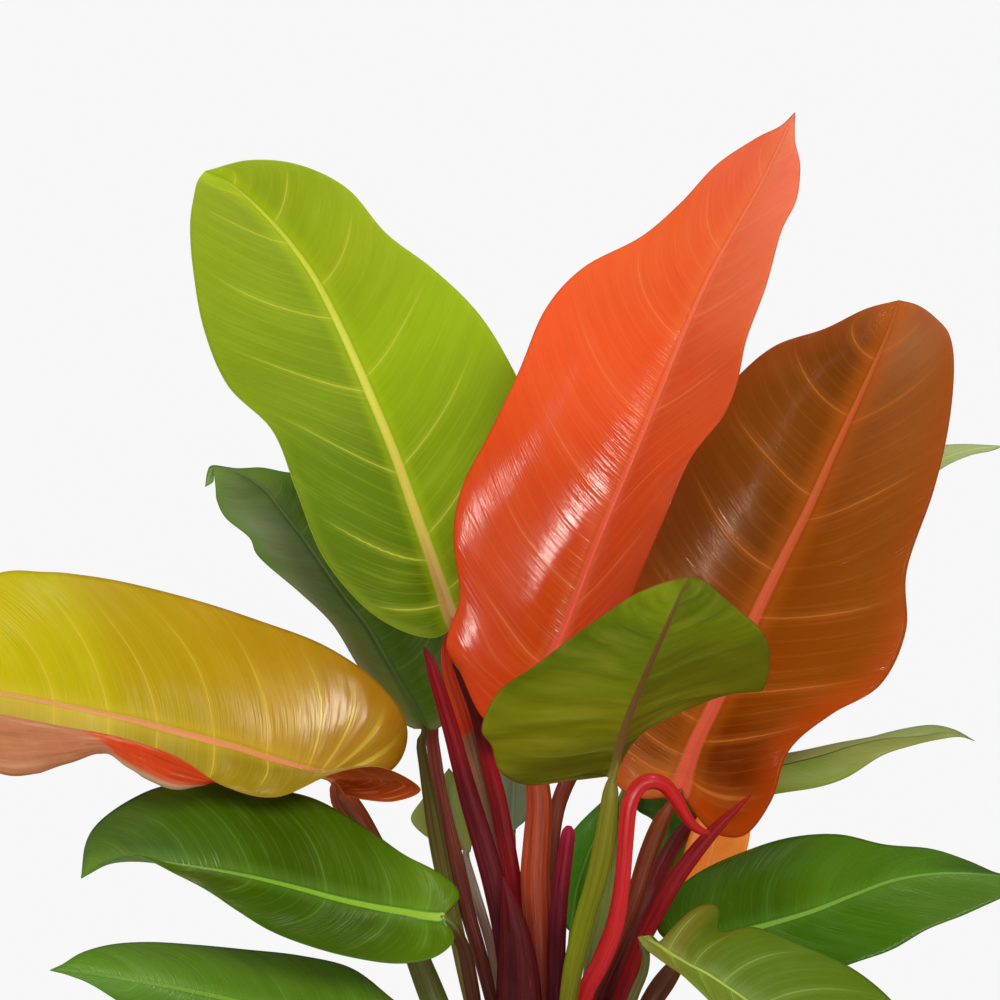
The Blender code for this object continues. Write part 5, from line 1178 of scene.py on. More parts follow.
def fine_soil():
    inner_top = POT_TOP_RADIUS - POT_BAND_STEP - POT_WALL
    inner_low = pot_radius(POT_FLOOR) - POT_WALL
    def inside(z):
        f = (z - POT_FLOOR - 0.004) / (POT_HEIGHT - 0.002 - POT_FLOOR - 0.004)
        return inner_low + (inner_top - inner_low) * f - 0.0004
    steps = 160
    ang = np.linspace(0, 2 * math.pi, steps, endpoint=False)
    radii = np.concatenate([np.linspace(CROWN_RADIUS + 0.0004, inside(SOIL_TOP) - 0.0012, 46), [inside(SOIL_TOP) - 0.0004]])
    verts, ids = [], []
    def ring(r, zs):
        row = list(range(len(verts), len(verts) + steps))
        for a, z in zip(ang, zs):
            verts.append((r * math.cos(a), r * math.sin(a), z))
        ids.append(row)
    ring(CROWN_RADIUS + 0.0004, np.full(steps, SOIL_TOP - 0.0116))
    for r in radii:
        ring(r, soil_height(r * np.cos(ang), r * np.sin(ang)))
    ring(inside(SOIL_TOP - 0.006), np.full(steps, SOIL_TOP - 0.006))
    ring(inside(0.08), np.full(steps, 0.08))
    ring(inside(POT_FLOOR + 0.006), np.full(steps, POT_FLOOR + 0.006))
    ring(inner_low - 0.007, np.full(steps, POT_FLOOR + 0.0004))
    faces = []
    for lo, hi in zip(ids, ids[1:]):
        for i in range(steps):
            j = (i + 1) % steps
            faces.append((lo[i], hi[i], hi[j], lo[j]))
    c0, c1 = len(verts), len(verts) + 1
    verts.append((0, 0, SOIL_TOP - 0.0116)); verts.append((0, 0, POT_FLOOR + 0.0004))
    for i in range(steps):
        j = (i + 1) % steps
        faces.append((ids[0][i], ids[0][j], c0)); faces.append((ids[-1][j], ids[-1][i], c1))
    mesh = build_mesh("soil_fine", verts, faces)
    bm = bmesh.new(); bm.from_mesh(mesh)
    bmesh.ops.recalc_face_normals(bm, faces=bm.faces)
    bm.to_mesh(mesh); bm.free()
    add_float(mesh, "chip", np.zeros(len(mesh.vertices)))
    # bark chips, coir crumbs and perlite grains, half sunk in the surface
    rng = np.random.default_rng(21)
    allv, allf, chip = [], [], []
    limit = inside(SOIL_TOP) - 0.006
    for k in range(620):
        kind = rng.random()
        rr = math.sqrt(rng.uniform((CROWN_RADIUS + 0.004) ** 2, limit ** 2))
        aa = rng.uniform(0, 2 * math.pi)
        x, y = rr * math.cos(aa), rr * math.sin(aa)
        if kind < 0.12:                      # perlite
            size = np.array((1, 0.9, 0.85)) * rng.uniform(0.0009, 0.0017); tag = 1.0
        elif kind < 0.45:                    # bark chip
            size = np.array((rng.uniform(0.0026, 0.0048), rng.uniform(0.0014, 0.0026), rng.uniform(0.0007, 0.0012))); tag = rng.uniform(0.30, 0.62)
        else:                                # crumb
            size = np.array((1, 0.85, 0.7)) * rng.uniform(0.0008, 0.0019); tag = rng.uniform(0.05, 0.28)
        z = float(soil_height(np.array([x]), np.array([y]))[0]) + size[2] * 0.25
        bm = bmesh.new()
        bmesh.ops.create_icosphere(bm, subdivisions=1 if tag < 0.3 else 2, radius=1.0)
        pts = np.array([v.co[:] for v in bm.verts])
        jag = 1 + 0.22 * rng.normal(size=len(pts))[:, None].clip(-1.6, 1.6) * (0.6 if tag < 0.9 else 0.35)
        pts = np.sign(pts) * np.abs(pts) ** (0.75 if 0.3 <= tag < 0.9 else 1.0) * jag * size
        t, p = rng.uniform(0, 2 * math.pi), rng.normal(0, 0.30)
        rz = np.array([[math.cos(t), -math.sin(t), 0], [math.sin(t), math.cos(t), 0], [0, 0, 1]])
        rx = np.array([[1, 0, 0], [0, math.cos(p), -math.sin(p)], [0, math.sin(p), math.cos(p)]])
        pts = pts @ rx.T @ rz.T + np.array((x, y, z))
        base = sum(len(v) for v in allv)
        allf += [[v.index + base for v in f.verts] for f in bm.faces]
        allv.append(pts); chip.append(np.full(len(pts), tag))
        bm.free()
    chips = build_mesh("soil_chips_fine", np.vstack(allv), allf)
    add_float(chips, "chip", np.concatenate(chip))
    return mesh, chips


def fine_crown():
    """Short knobby stem: leaf-scar rings, small lumps and a domed top under the petioles."""
    steps, rows = 96, 70
    z0, z1 = SOIL_TOP - 0.0115, CROWN_TOP
    ang = np.linspace(0, 2 * math.pi, steps, endpoint=False)
    verts, L = [], []
    prof_z = np.array([z0, 0.148, 0.158, 0.168, 0.1755, 0.1815, 0.1854, CROWN_TOP])
    prof_r = np.array([CROWN_RADIUS - 0.0005, CROWN_RADIUS, 0.0185, 0.0165, 0.013, 0.0085, 0.004, 0.0])
    zs = z0 + (z1 - z0) * np.linspace(0, 1, rows) ** 0.8
    zs[-1] = z1 - 0.00005
    for k, z in enumerate(zs):
        r = float(np.interp(z, prof_z, prof_r))
        scar = 0.0011 * (0.5 + 0.5 * np.sin((z - z0) * 980 + 1.3 * np.sin(ang * 1.0 + 0.6) + 0.7 * np.sin(2 * ang))) ** 3
        lump = 0.0007 * np.sin(5 * ang + 7 * z * 60) + 0.0004 * np.sin(11 * ang - 4 * z * 90)
        fade = min(1.0, r / 0.012) * smooth(z0, z0 + 0.004, z)
        rr = r + (scar - 0.0009 + lump) * fade
        for a, q in zip(ang, np.broadcast_to(rr, ang.shape)):
            verts.append((q * math.cos(a), q * math.sin(a), z)); L.append((z - z0) / (z1 - z0))
    faces = []
    for k in range(rows - 1):
        for i in range(steps):
            j = (i + 1) % steps
            faces.append((k * steps + i, k * steps + j, (k + 1) * steps + j, (k + 1) * steps + i))
    c0, c1 = len(verts), len(verts) + 1
    verts += [(0, 0, z0), (0, 0, z1)]; L += [0, 1]
    for i in range(steps):
        j = (i + 1) % steps
        faces.append((j, i, c0)); faces.append(((rows - 1) * steps + i, (rows - 1) * steps + j, c1))
    mesh = build_mesh("crown_fine", verts, faces)
    a = np.append(np.tile(ang, rows), [0, 0])
    add_float(mesh, "L", L); add_float(mesh, "cx", np.cos(a)); add_float(mesh, "sx", np.sin(a))
    return mesh


def clay_material():
    t = Tree("pot_clay")
    obj = t.object_coords()
    big = t.noise(obj, 9.0, 3.0, 0.6)
    grain = t.noise(obj, 420.0, 3.0, 0.65)
    bloom = t.noise(obj, 22.0, 4.0, 0.7, 0.6)
    color = t.ramp(big, [(0.25, "#a5563a"), (0.5, "#b9684a"), (0.75, "#c47a58")])
    color = t.mix(t.math("MULTIPLY", t.step(bloom, 0.56, 0.78), 0.40), color, rgb("#d9b49c"))
    color = t.mix(t.math("MULTIPLY", t.step(grain, 0.45, 0.2), 0.35), color, rgb("#8c4630"))
    z = t.node("ShaderNodeSeparateXYZ")
    t.put(z.inputs[0], obj)
    # the clay is darker towards the bottom
    darker_foot = t.step(z.outputs["Z"], 0.030, 0.002)
    color = t.mix(t.math("MULTIPLY", darker_foot, 0.22), color, rgb("#7c3f2a"))
    t.put(t.bsdf.inputs["Base Color"], color)
    t.put(t.bsdf.inputs["Roughness"], t.math("ADD", 0.80, t.math("MULTIPLY", t.math("SUBTRACT", grain, 0.5), 0.2), clamp=True))
    h = t.math("ADD", t.math("MULTIPLY", grain, 0.7), t.math("MULTIPLY", t.noise(obj, 1300.0, 2.0), 0.3))
    t.put(t.bsdf.inputs["Normal"], t.bump(h, 0.35, 0.0006))
    t.bsdf.inputs["Specular IOR Level"].default_value = 0.3
    return t.mat


def soil_material():
    t = Tree("potting_mix")
    obj = t.object_coords()
    chip = t.attr("chip")
    a = t.noise(obj, 260.0, 4.0, 0.7)
    b = t.noise(obj, 70.0, 3.0, 0.6)
    ground = t.ramp(a, [(0.2, "#17100b"), (0.5, "#2c1f15"), (0.8, "#4a3624")])
    ground = t.mix(t.math("MULTIPLY", b, 0.35), ground, rgb("#3a2818"))
    bark = t.ramp(t.math("ADD", chip, t.math("MULTIPLY", t.math("SUBTRACT", a, 0.5), 0.4)), [(0.1, "#2a1c12"), (0.35, "#4a2f1c"), (0.6, "#7a5230")])
    color = t.mix(t.step(chip, 0.02, 0.06), ground, bark)
    color = t.mix(t.step(chip, 0.85, 0.95), color, rgb("#dcd8cc"))
    t.put(t.bsdf.inputs["Base Color"], color)
    t.put(t.bsdf.inputs["Roughness"], t.math("ADD", 0.88, t.math("MULTIPLY", t.math("SUBTRACT", a, 0.5), 0.2), clamp=True))
    t.put(t.bsdf.inputs["Normal"], t.bump(t.noise(obj, 900.0, 4.0, 0.7), 0.8, 0.0008))
    t.bsdf.inputs["Specular IOR Level"].default_value = 0.25
    return t.mat


# ---------------------------------------------------------------- the looks of each leaf
# left and right are colour stops from the base (0) to the tip (1) on the two half blades. Besides each leaf's own
# colours they hold painted shade: the stops darken toward the leaf bases, in the plant's shaded middle.
LOOKS = {
    "blade_upper_left": dict(
        left=[(0.0, "#6c7e06"), (0.12, "#5c7403"), (0.25, "#587002"), (0.4, "#65800a"), (0.55, "#7c9412"), (0.7, "#889e16"), (0.85, "#8c9e1c"), (1.0, "#9aa422")],
        right=[(0.0, "#7d8408"), (0.2, "#7f8a08"), (0.4, "#809a0a"), (0.55, "#96b210"), (0.7, "#9aac18"), (0.85, "#90a218"), (1.0, "#a0b020")],
        vein="#c8cc3c", rib=[(0.0, "#cf9a62"), (0.22, "#cfa860"), (0.40, "#d8c458"), (0.55, "#dcd856"), (0.8, "#cdd048"), (1.0, "#a9b838")],
        margin="#b8bf3c", dark="#5f7f12", light="#bcd238", fine=0.45, broad=0.4, veins=0.8, rib_mm=4.2, halo=0.60, halo_mm=8.0, halo_color="#b0c814", glow=[(0.0, "#c7cc34"), (0.5, "#9db22a"), (1.0, "#8fa52a")],
        glow_mm=5.0, glow_amount=0.2, under="#a5b86a", rough=0.42, specular=0.10),
    "blade_centre": dict(
        left=[(0.0, "#cf4010"), (0.15, "#cc3e0e"), (0.25, "#cf4212"), (0.4, "#d94814"), (0.55, "#ee5828"), (0.7, "#e25c2c"), (0.85, "#e16140"), (1.0, "#ec6a51")],
        right=[(0.0, "#c8441a"), (0.25, "#c23c14"), (0.4, "#c84418"), (0.55, "#d05028"), (0.7, "#e26a44"), (0.85, "#e77053"), (1.0, "#ea7a5c")],
        vein="#f28c50", rib=[(0.0, "#e2402f"), (0.3, "#ea5b45"), (0.7, "#ee7650"), (1.0, "#ec8460")],
        margin="#b83c18", dark="#a82c10", light="#f2855a", veins=0.46, rib_mm=3.6, under="#d98a6a", rough=0.13, specular=0.9, bump=0.56, brush=0.85, tint=(1.0, 0.94, 0.89), ripple=0.35, quilt=0.25, shine=[(0.0, 0.15), (0.12, 0.4), (0.18, 0.8), (0.25, 1.0), (0.35, 1.0), (0.41, 0.6), (0.47, 0.2), (0.55, 0.08), (1.0, 0.05)]),
    # the pale peach at the base of the left half is partly a painted sheen, and the dark stop at 0.25 on the right
    # half is painted shade
    "blade_right": dict(
        left=[(0.0, "#c8783c"), (0.14, "#c06c30"), (0.25, "#8a440c"), (0.4, "#92480a"), (0.55, "#7c3e08"), (0.7, "#84450e"), (0.85, "#743c10"), (1.0, "#a6642e")],
        right=[(0.0, "#943b02"), (0.12, "#923a01"), (0.25, "#6c2a01"), (0.4, "#8d4302"), (0.55, "#8d4808"), (0.7, "#96531f"), (0.85, "#a96a3e"), (1.0, "#c07840")],
        vein="#d0762c", rib=[(0.0, "#dc5a40"), (0.35, "#dd6044"), (0.7, "#d46a38"), (1.0, "#c07038")],
        margin="#b0380c", dark="#6a3009", light="#c98348", veins=0.64, vein_mm=0.7, rib_mm=5.2, halo=0.55, halo_mm=12.0, halo_color="#c8641a",
        glow=[(0.0, "#cf4712"), (0.35, "#cc460f"), (0.6, "#a34512"), (1.0, "#a04a1a")],
        glow_mm=16.0, glow_amount=0.42, under="#b87848", rough=0.15, specular=0.36, bump=0.60, brush=0.80, tint=(1.0, 0.82, 0.64), ripple=0.5, quilt=0.3,
        shine=[(0.0, 0.12), (0.3, 0.15), (0.40, 0.7), (0.55, 0.7), (0.64, 0.15), (0.9, 0.15), (1.0, 0.4)]),
    "blade_left": dict(
        left=[(0.0, "#a05c12"), (0.12, "#96640a"), (0.25, "#a8720e"), (0.4, "#b4880e"), (0.55, "#af920c"), (0.7, "#b7a80e"), (1.0, "#c4b80f")],
        right=[(0.0, "#a86c1c"), (0.25, "#94741c"), (0.4, "#8e760c"), (0.55, "#a18a1c"), (0.7, "#bca43c"), (1.0, "#c4ac40")],
        vein="#dcbc3c", rib=[(0.0, "#d8844a"), (0.4, "#de8c58"), (0.8, "#de9a66"), (1.0, "#dca878")],
        margin="#b07a2a", dark="#8a6a10", light="#e4c860", veins=0.6, vein_mm=0.5, rib_mm=3.0,
        under_ramp=[(0.0, "#a03c0c"), (0.3, "#a8400e"), (0.42, "#b0440f"), (0.52, "#c43c16"), (0.60, "#cc4018"), (0.688, "#cc4820"), (0.702, "#b4704e"), (0.85, "#b87650"), (1.0, "#b4784a")],
        rough=0.20, specular=0.38, bump=0.60, brush=0.70, tint=(1.0, 0.95, 0.84), shine=[(0.0, 0.15), (0.12, 0.2), (0.2, 0.75), (0.32, 1.0), (0.40, 0.5), (0.48, 0.15), (1.0, 0.1)],
        under_far=[(0.0, "#a8622e"), (0.4, "#b07a3c"), (0.7, "#b48a4c"), (1.0, "#b49458")], under_vein="#c89a5c", under_veins=0.3, under_slant=0.286, under_sheen_streak=0.62, under_light="#d4a07c", under_dark="#6e2f14", under_highlight_patch=(7.2, 8.0, 9.2, 10.2, 0.66, 0.80, "#c2a07c")),
    # the grey-green of the left half is partly the leaf's own colour and partly a painted sheen
    "blade_back_left": dict(
        left=[(0.0, "#586818"), (0.14, "#707a2a"), (0.24, "#7a8444"), (0.4, "#728050"), (0.55, "#7a865a"), (0.7, "#64783c"), (0.85, "#6c8438"), (1.0, "#9ca050")],
        right=[(0.0, "#4c6a0c"), (0.4, "#435f0c"), (0.60, "#456412"), (0.72, "#78982c"), (1.0, "#7a943c")],
        vein="#84a050", rib=[(0.0, "#5e7c3c"), (0.5, "#6c7c4c"), (0.8, "#7c8c58"), (1.0, "#84a458")], margin="#3a5f24", dark="#2c4a14", light="#a0a488",
        glow=[(0.0, "#8f8c62"), (0.34, "#8a8a5c"), (0.42, "#4c7c1a"), (0.55, "#5a8024"), (1.0, "#6f9a44")], glow_mm=6.0, glow_amount=0.75,
        veins=0.3, halo=0.2, rib_mm=1.6, under="#7c936a", rough=0.34, specular=0.2, fine=0.4, patch=0.5),
    "blade_low_left": dict(
        left=[(0.0, "#50700a"), (0.12, "#537008"), (0.25, "#5b7c0f"), (0.4, "#446003"), (0.55, "#3a5101"), (0.7, "#426206"), (0.85, "#436621"), (1.0, "#527524")],
        right=[(0.0, "#4a6404"), (0.25, "#4c6a04"), (0.4, "#3b5702"), (0.55, "#385600"), (0.7, "#3d5504"), (1.0, "#5c780c")],
        vein="#6c9a34", rib=[(0.0, "#a5bf56"), (0.3, "#8db52e"), (0.8, "#6f9c2c"), (1.0, "#5c8a28")], margin="#4a7a1e", dark="#1f4208",
        light="#86a34a", fine=0.35, veins=0.35, rib_mm=2.4, under="#8aa56a", rough=0.25, specular=0.7, ripple=1.0, quilt=0.35, shine=[(0.0, 0.30), (0.10, 0.15), (0.6, 0.12), (0.74, 0.8), (0.82, 1.0), (0.92, 1.0), (1.0, 0.5)]),
    "blade_lowest_left": dict(
        left=[(0.0, "#52721a"), (0.4, "#577a1a"), (0.55, "#5c801c"), (0.7, "#618425"), (0.85, "#568517"), (1.0, "#50781a")],
        right=[(0.0, "#42660e"), (0.5, "#486e12"), (0.85, "#4b7517"), (1.0, "#41690e")],
        vein="#6fa33c", rib=[(0.0, "#8db52e"), (1.0, "#5c8a28")], margin="#4a7a1e", dark="#28520c", light="#83ab52",
        veins=0.35, rib_mm=2.2, under="#8aa56a", rough=0.28),
    # its strong broad tone and underside tone paint the light and shade of the waves in the blade
    "blade_front": dict(
        under_right=[(0.0, "#5c5004"), (0.2, "#64580a"), (0.4, "#766b04"), (0.55, "#6d6d06"), (0.7, "#7a8408"), (0.85, "#6c7a08"), (1.0, "#6f780c")],
        left=[(0.0, "#4a7a1e"), (1.0, "#446f1a")], vein="#7c9a3a", rib=[(0.0, "#a8642e"), (1.0, "#7a5a28")], margin="#8a3418",
        dark="#3f5f08", light="#9ab03a", veins=0.45, rib_mm=2.3, rib_power=0.8, margin_mm=0.6,
        under_ramp=[(0.0, "#4c4601"), (0.2, "#5c5804"), (0.4, "#827e08"), (0.55, "#757e08"), (0.7, "#66770a"), (0.85, "#7f9008"), (1.0, "#6f780c")],
        under_rib=[(0.0, "#8a8a2c"), (0.12, "#84702c"), (0.3, "#7c5430"), (0.7, "#7a4a2c"), (1.0, "#7a6030")], rough=0.42, specular=0.10, under_tone=1.9, broad=0.60, fine=0.16, patch=0.35, ripple=2.0, quilt=0.9, under_light="#a8a434", under_dark="#383602"),
    "blade_low_right": dict(
        left=[(0.0, "#385004"), (0.25, "#3a5c04"), (0.4, "#385a00"), (0.55, "#4b7202"), (0.7, "#4b7900"), (0.85, "#406208"), (1.0, "#466a10")],
        right=[(0.0, "#325a05"), (0.25, "#2f5c04"), (0.4, "#376201"), (0.55, "#3c6701"), (0.7, "#4c6f17"), (1.0, "#4c6f20")],
        vein="#5c8f2e", rib=[(0.0, "#8aae4a"), (0.5, "#7aa63a"), (1.0, "#5c8a30")], margin="#3f7216", dark="#1c4404", light="#6a9444", fine=0.12, quilt=0.2,
        veins=0.26, rib_mm=2.2, under="#8aa56a", rough=0.27),
    "blade_lowest_right": dict(
        left=[(0.0, "#565706"), (0.25, "#6d6613"), (0.4, "#5a6e09"), (0.55, "#58720e"), (0.85, "#5c7a10"), (1.0, "#5c7a14")],
        right=[(0.0, "#74701d"), (0.25, "#75731c"), (0.4, "#6c7d19"), (0.7, "#66781c"), (1.0, "#647a1c")],
        vein="#8fa84e", rib=[(0.0, "#9aa048"), (0.2, "#a4b03c"), (0.5, "#a9c04a"), (1.0, "#8cab44")], margin="#6f8c2c", dark="#41600e", light="#98ac5c",
        veins=0.6, rib_mm=1.1, halo=0.15, under="#93a866", rough=0.36, specular=0.2),
    "blade_back_right": dict(
        left=[(0.0, "#80701e"), (0.30, "#948a3c"), (0.40, "#a8a05a"), (0.55, "#a8a65e"), (0.7, "#8e9a54"), (0.85, "#848d47"), (1.0, "#8a9450")], right=[(0.0, "#8fa032"), (0.25, "#98a83a"), (0.4, "#8fa532"), (0.55, "#9da64c"), (0.7, "#929747"), (1.0, "#9aa24f")],
        vein="#9ab46a", rib=[(0.0, "#4a3a14"), (0.5, "#3f3f14"), (0.75, "#5a6a2a"), (1.0, "#8aa65c")], margin="#5f6a2c", dark="#3f5f24", light="#9ab476",
        veins=0.3, halo=0.05, rib_mm=0.35, rib_tip=0.25, under="#93a866", rough=0.34),
    "blade_back_right_high": dict(
        left=[(0.0, "#96a456"), (0.8, "#a0a768"), (1.0, "#a6ac72")], vein="#b4cc80", rib=[(0.0, "#b4cc80"), (1.0, "#a8c474")], margin="#7ca048",
        dark="#6f9444", light="#b8d08a", veins=0.3, rib_mm=1.4, under="#a5bf7a", rough=0.36),
    # its orange stops are its own colour brightened as painted light, since it stands in the shade of the leaves
    # around it
    "blade_young_orange": dict(
        left=[(0.0, "#f0701a"), (0.5, "#fa8420"), (1.0, "#ff9c40")], right=[(0.0, "#f47a20"), (0.5, "#ff9030"), (1.0, "#ffac58")],
        vein="#ffb060", rib=[(0.0, "#f59a4a"), (1.0, "#ffb468")], margin="#e0661c", dark="#c85010", light="#ffb87a",
        veins=0.3, rib_mm=1.6, under="#f59a58", rough=0.32, painted_glow_through=0.22),
    "blade_inner_green": dict(
        left=[(0.0, "#4c8a1c"), (1.0, "#3f7a1c")], vein="#5a9024", rib=[(0.0, "#6a9a34"), (1.0, "#5a8c2c")], margin="#3a6a18",
        dark="#1f4a0a", light="#6f9c44", veins=0.3, rib_mm=1.2, under="#7c9a54", rough=0.32),
    # its bright greens are its own colour lifted as painted light where it sits in the plant's shade
    "blade_inner_right": dict(
        left=[(0.0, "#4f9414"), (0.5, "#4a8a18"), (1.0, "#2c5a1c")], vein="#6a9c34", rib=[(0.0, "#5f8c3c"), (1.0, "#4f7c34")], margin="#28501a",
        dark="#16330a", light="#4f7a3c", veins=0.3, rib_mm=1.2, under="#6a8a54", rough=0.32),
    "blade_inner_left": dict(
        left=[(0.0, "#98a050"), (0.4, "#a8b058"), (1.0, "#a0b050")], right=[(0.0, "#b4c46a"), (0.3, "#b0c448"), (0.6, "#b0c060"), (1.0, "#98b040")], vein="#a4b060", rib=[(0.0, "#b0b878"), (1.0, "#a0ac60")], margin="#6f7c34",
        dark="#56602c", light="#b4bc80", veins=0.3, rib_mm=1.0, under="#9aa070", rough=0.40),
    "blade_inner_grey": dict(
        left=[(0.0, "#7a8a68"), (1.0, "#8a9a78")], vein="#8a9a74", rib=[(0.0, "#8a9a74"), (1.0, "#8a9a74")], margin="#4f6044",
        dark="#3c4c30", light="#8a9a7c", veins=0.3, rib_mm=1.2, under="#7c8a6c", rough=0.40),
}
REAR = dict(
    left=[(0.0, "#4c7c24"), (0.5, "#3c6c18"), (1.0, "#41701f")], right=[(0.0, "#467622"), (0.5, "#38660f"), (1.0, "#3d6c1c")],
    vein="#6c9a3a", rib=[(0.0, "#9ab856"), (0.5, "#86ab40"), (1.0, "#648e34")], margin="#4a7a1e", dark="#234808", light="#7aa04e",
    veins=0.38, rib_mm=2.2, under="#8aa568", rough=0.29)
REAR_YOUNG = dict(REAR, left=[(0.0, "#8ea02c"), (0.5, "#7c981f"), (1.0, "#769428")], right=[(0.0, "#96a634"), (0.5, "#849c24"), (1.0, "#7c982c")],
                  vein="#b4bc4c", rib=[(0.0, "#d0b864"), (0.5, "#c0c050"), (1.0, "#9aac40")], dark="#506c10", light="#b0bc50", under="#a5b070")
for name in ARCHED:
    LOOKS[name] = REAR_YOUNG if name == "blade_rear" else REAR

# petioles: the leaf that each one carries, and its colours from the leaf down to the crown
STEMS = {
    "petiole_upper_left": ("blade_upper_left", [(0.0, "#d2683a"), (0.05, "#d8141c"), (0.10, "#dc2c18"), (0.20, "#d83a14"), (0.255, "#cc2410"), (0.27, "#8a5a3c"), (0.34, "#8c6240"), (0.46, "#8c6648"), (0.6, "#6a4a34"), (1.0, "#5a4a2c")], "#4a1810", "#e07a4a", 0.45),
    "petiole_centre": ("blade_centre", [(0.0, "#d84a2c"), (0.06, "#c04826"), (0.3, "#b44422"), (0.6, "#a43a24"), (1.0, "#803226")], "#4e0e10", "#dc7440", 0.8),
    "petiole_right": ("blade_right", [(0.0, "#a0502c"), (0.08, "#843f1a"), (0.3, "#843418"), (0.5, "#6e241a"), (1.0, "#5a2220")], "#3c0c0a", "#b06c34", 0.6),
    "petiole_left": ("blade_left", [(0.0, "#c0602c"), (0.06, "#a8441f"), (0.2, "#8c2c1a"), (0.36, "#6a2a1a"), (0.48, "#5c5c24"), (0.6, "#657a2c"), (1.0, "#6f8438")], "#3a2410", "#a8b468", 0.35),
    "petiole_back_left": ("blade_back_left", [(0.0, "#645c1c"), (0.25, "#6c6024"), (0.45, "#7c7434"), (1.0, "#5f5c28")], "#34200c", "#a8a060", 0.55),
    "petiole_low_left": ("blade_low_left", [(0.0, "#8aa04a"), (0.15, "#5c3a20"), (0.5, "#4a1c1c"), (1.0, "#4a2a20")], "#20080c", "#8a5a44", 0.4),
    "petiole_lowest_left": ("blade_lowest_left", [(0.0, "#86a040"), (0.5, "#6f7c34"), (1.0, "#5f5a30")], "#2a2410", "#a5a860", 0.35),
    "petiole_front": ("blade_front", [(0.0, "#8f8a40"), (0.14, "#808014"), (0.4, "#788008"), (0.6, "#706c10"), (1.0, "#6a6424")], "#6a4a14", "#a8a83c", 0.5),
    "petiole_low_right": ("blade_low_right", [(0.0, "#6a6a28"), (0.12, "#5c3a1c"), (0.3, "#5e2a18"), (1.0, "#4a2420")], "#2a0c0a", "#94603c", 0.5),
    "petiole_lowest_right": ("blade_lowest_right", [(0.0, "#7c8038"), (0.3, "#6a6838"), (1.0, "#5f4a30")], "#2f2414", "#a4a474", 0.4),
    "petiole_back_right": ("blade_back_right", [(0.0, "#7a8a4a"), (0.08, "#7a2020"), (0.4, "#6c141a"), (0.7, "#5c2020"), (1.0, "#4a201e")], "#2c0610", "#944844", 0.5),
    "petiole_back_right_high": ("blade_back_right_high", [(0.0, "#8aa854"), (0.2, "#6f4a30"), (0.42, "#84301f"), (0.6, "#6e2a1c"), (1.0, "#4a201c")], "#2c100c", "#b07858", 0.4),
    "petiole_rear_left": ("blade_rear_left", [(0.0, "#8aa04a"), (0.10, "#a83c34"), (0.3, "#a04c3c"), (0.5, "#843c30"), (1.0, "#5a2c28")], "#580c14", "#d89a80", 0.7),
    "petiole_rear": ("blade_rear", [(0.0, "#a0943c"), (0.3, "#7a4a2c"), (1.0, "#5f4a2c")], "#30180c", "#b09460", 0.4),
    "petiole_rear_right": ("blade_rear_right", [(0.0, "#86a044"), (0.3, "#8a9a44"), (0.6, "#86924a"), (1.0, "#5a4c2c")], "#4a4a20", "#bcc484", 0.35),
    "petiole_low_rear_left": ("blade_low_rear_left", [(0.0, "#86a044"), (0.4, "#6f7434"), (1.0, "#5f5430")], "#2a200c", "#a5a060", 0.35),
    "petiole_low_rear_right": ("blade_low_rear_right", [(0.0, "#86a044"), (0.4, "#6f7434"), (1.0, "#5f5430")], "#2a200c", "#a5a060", 0.35),
    "petiole_low_front": ("blade_low_front", [(0.0, "#86a044"), (0.4, "#6f7434"), (1.0, "#5f5430")], "#2a200c", "#a5a060", 0.35),
    "petiole_young_orange": ("blade_young_orange", [(0.0, "#e8802c"), (0.4, "#b0502c"), (1.0, "#7a3a28")], "#5a1c10", "#f0a468", 0.35),
    "petiole_inner_green": ("blade_inner_green", [(0.0, "#86a85a"), (0.6, "#7c9450"), (1.0, "#6a7440")], "#3c4820", "#b8c88a", 0.35),
    "petiole_inner_right": ("blade_inner_right", [(0.0, "#5f8c3c"), (0.5, "#5a5a30"), (1.0, "#4f4028")], "#20200c", "#90986a", 0.35),
    "petiole_inner_left": ("blade_inner_left", [(0.0, "#c8c8a0"), (0.15, "#c4ac98"), (0.4, "#9a7060"), (1.0, "#4a2c24")], "#5a4034", "#e0d8c8", 0.45),
    "petiole_inner_grey": ("blade_inner_grey", [(0.0, "#7c8a5c"), (0.5, "#5f4c38"), (1.0, "#4f3a2c")], "#241810", "#948468", 0.35),
}
SKINS = {
    "sheath_front": ([(0.0, "#70101a"), (0.2, "#5a1216"), (0.6, "#4c1214"), (1.0, "#3f1414")], "#1e0406", "#8a2c30", 0.6),
    "sheath_spear": ([(0.0, "#6e1020"), (0.06, "#8e0a18"), (0.2, "#840a16"), (0.3, "#640c18"), (0.6, "#560e16"), (1.0, "#4a1018")], "#2c0208", "#a82832", 0.5),
    "sheath_left": ([(0.0, "#5c1018"), (0.17, "#620e16"), (0.22, "#a01018"), (0.34, "#90101a"), (0.48, "#a8121a"), (0.56, "#a01416"), (0.7, "#6a1418"), (1.0, "#5a1418")], "#3a0408", "#d83430", 0.45),
    "sheath_stub": ([(0.0, "#b81844"), (0.08, "#98102e"), (0.22, "#6c1020"), (0.4, "#4a0c16"), (1.0, "#400e18")], "#24040a", "#b83a50", 0.5),
    "sheath_right": ([(0.0, "#a81e18"), (0.2, "#98121a"), (0.5, "#840a10"), (0.7, "#6c1014"), (1.0, "#4a1418")], "#34020a", "#b83028", 0.5),
}


SIZES = {  # rows along, columns per half
    "blade_upper_left": (150, 30), "blade_centre": (160, 30), "blade_right": (150, 34), "blade_left": (150, 30), "blade_back_left": (110, 22),
    "blade_low_left": (130, 24), "blade_lowest_left": (110, 20), "blade_front": (120, 28), "blade_low_right": (120, 22), "blade_lowest_right": (130, 24)}

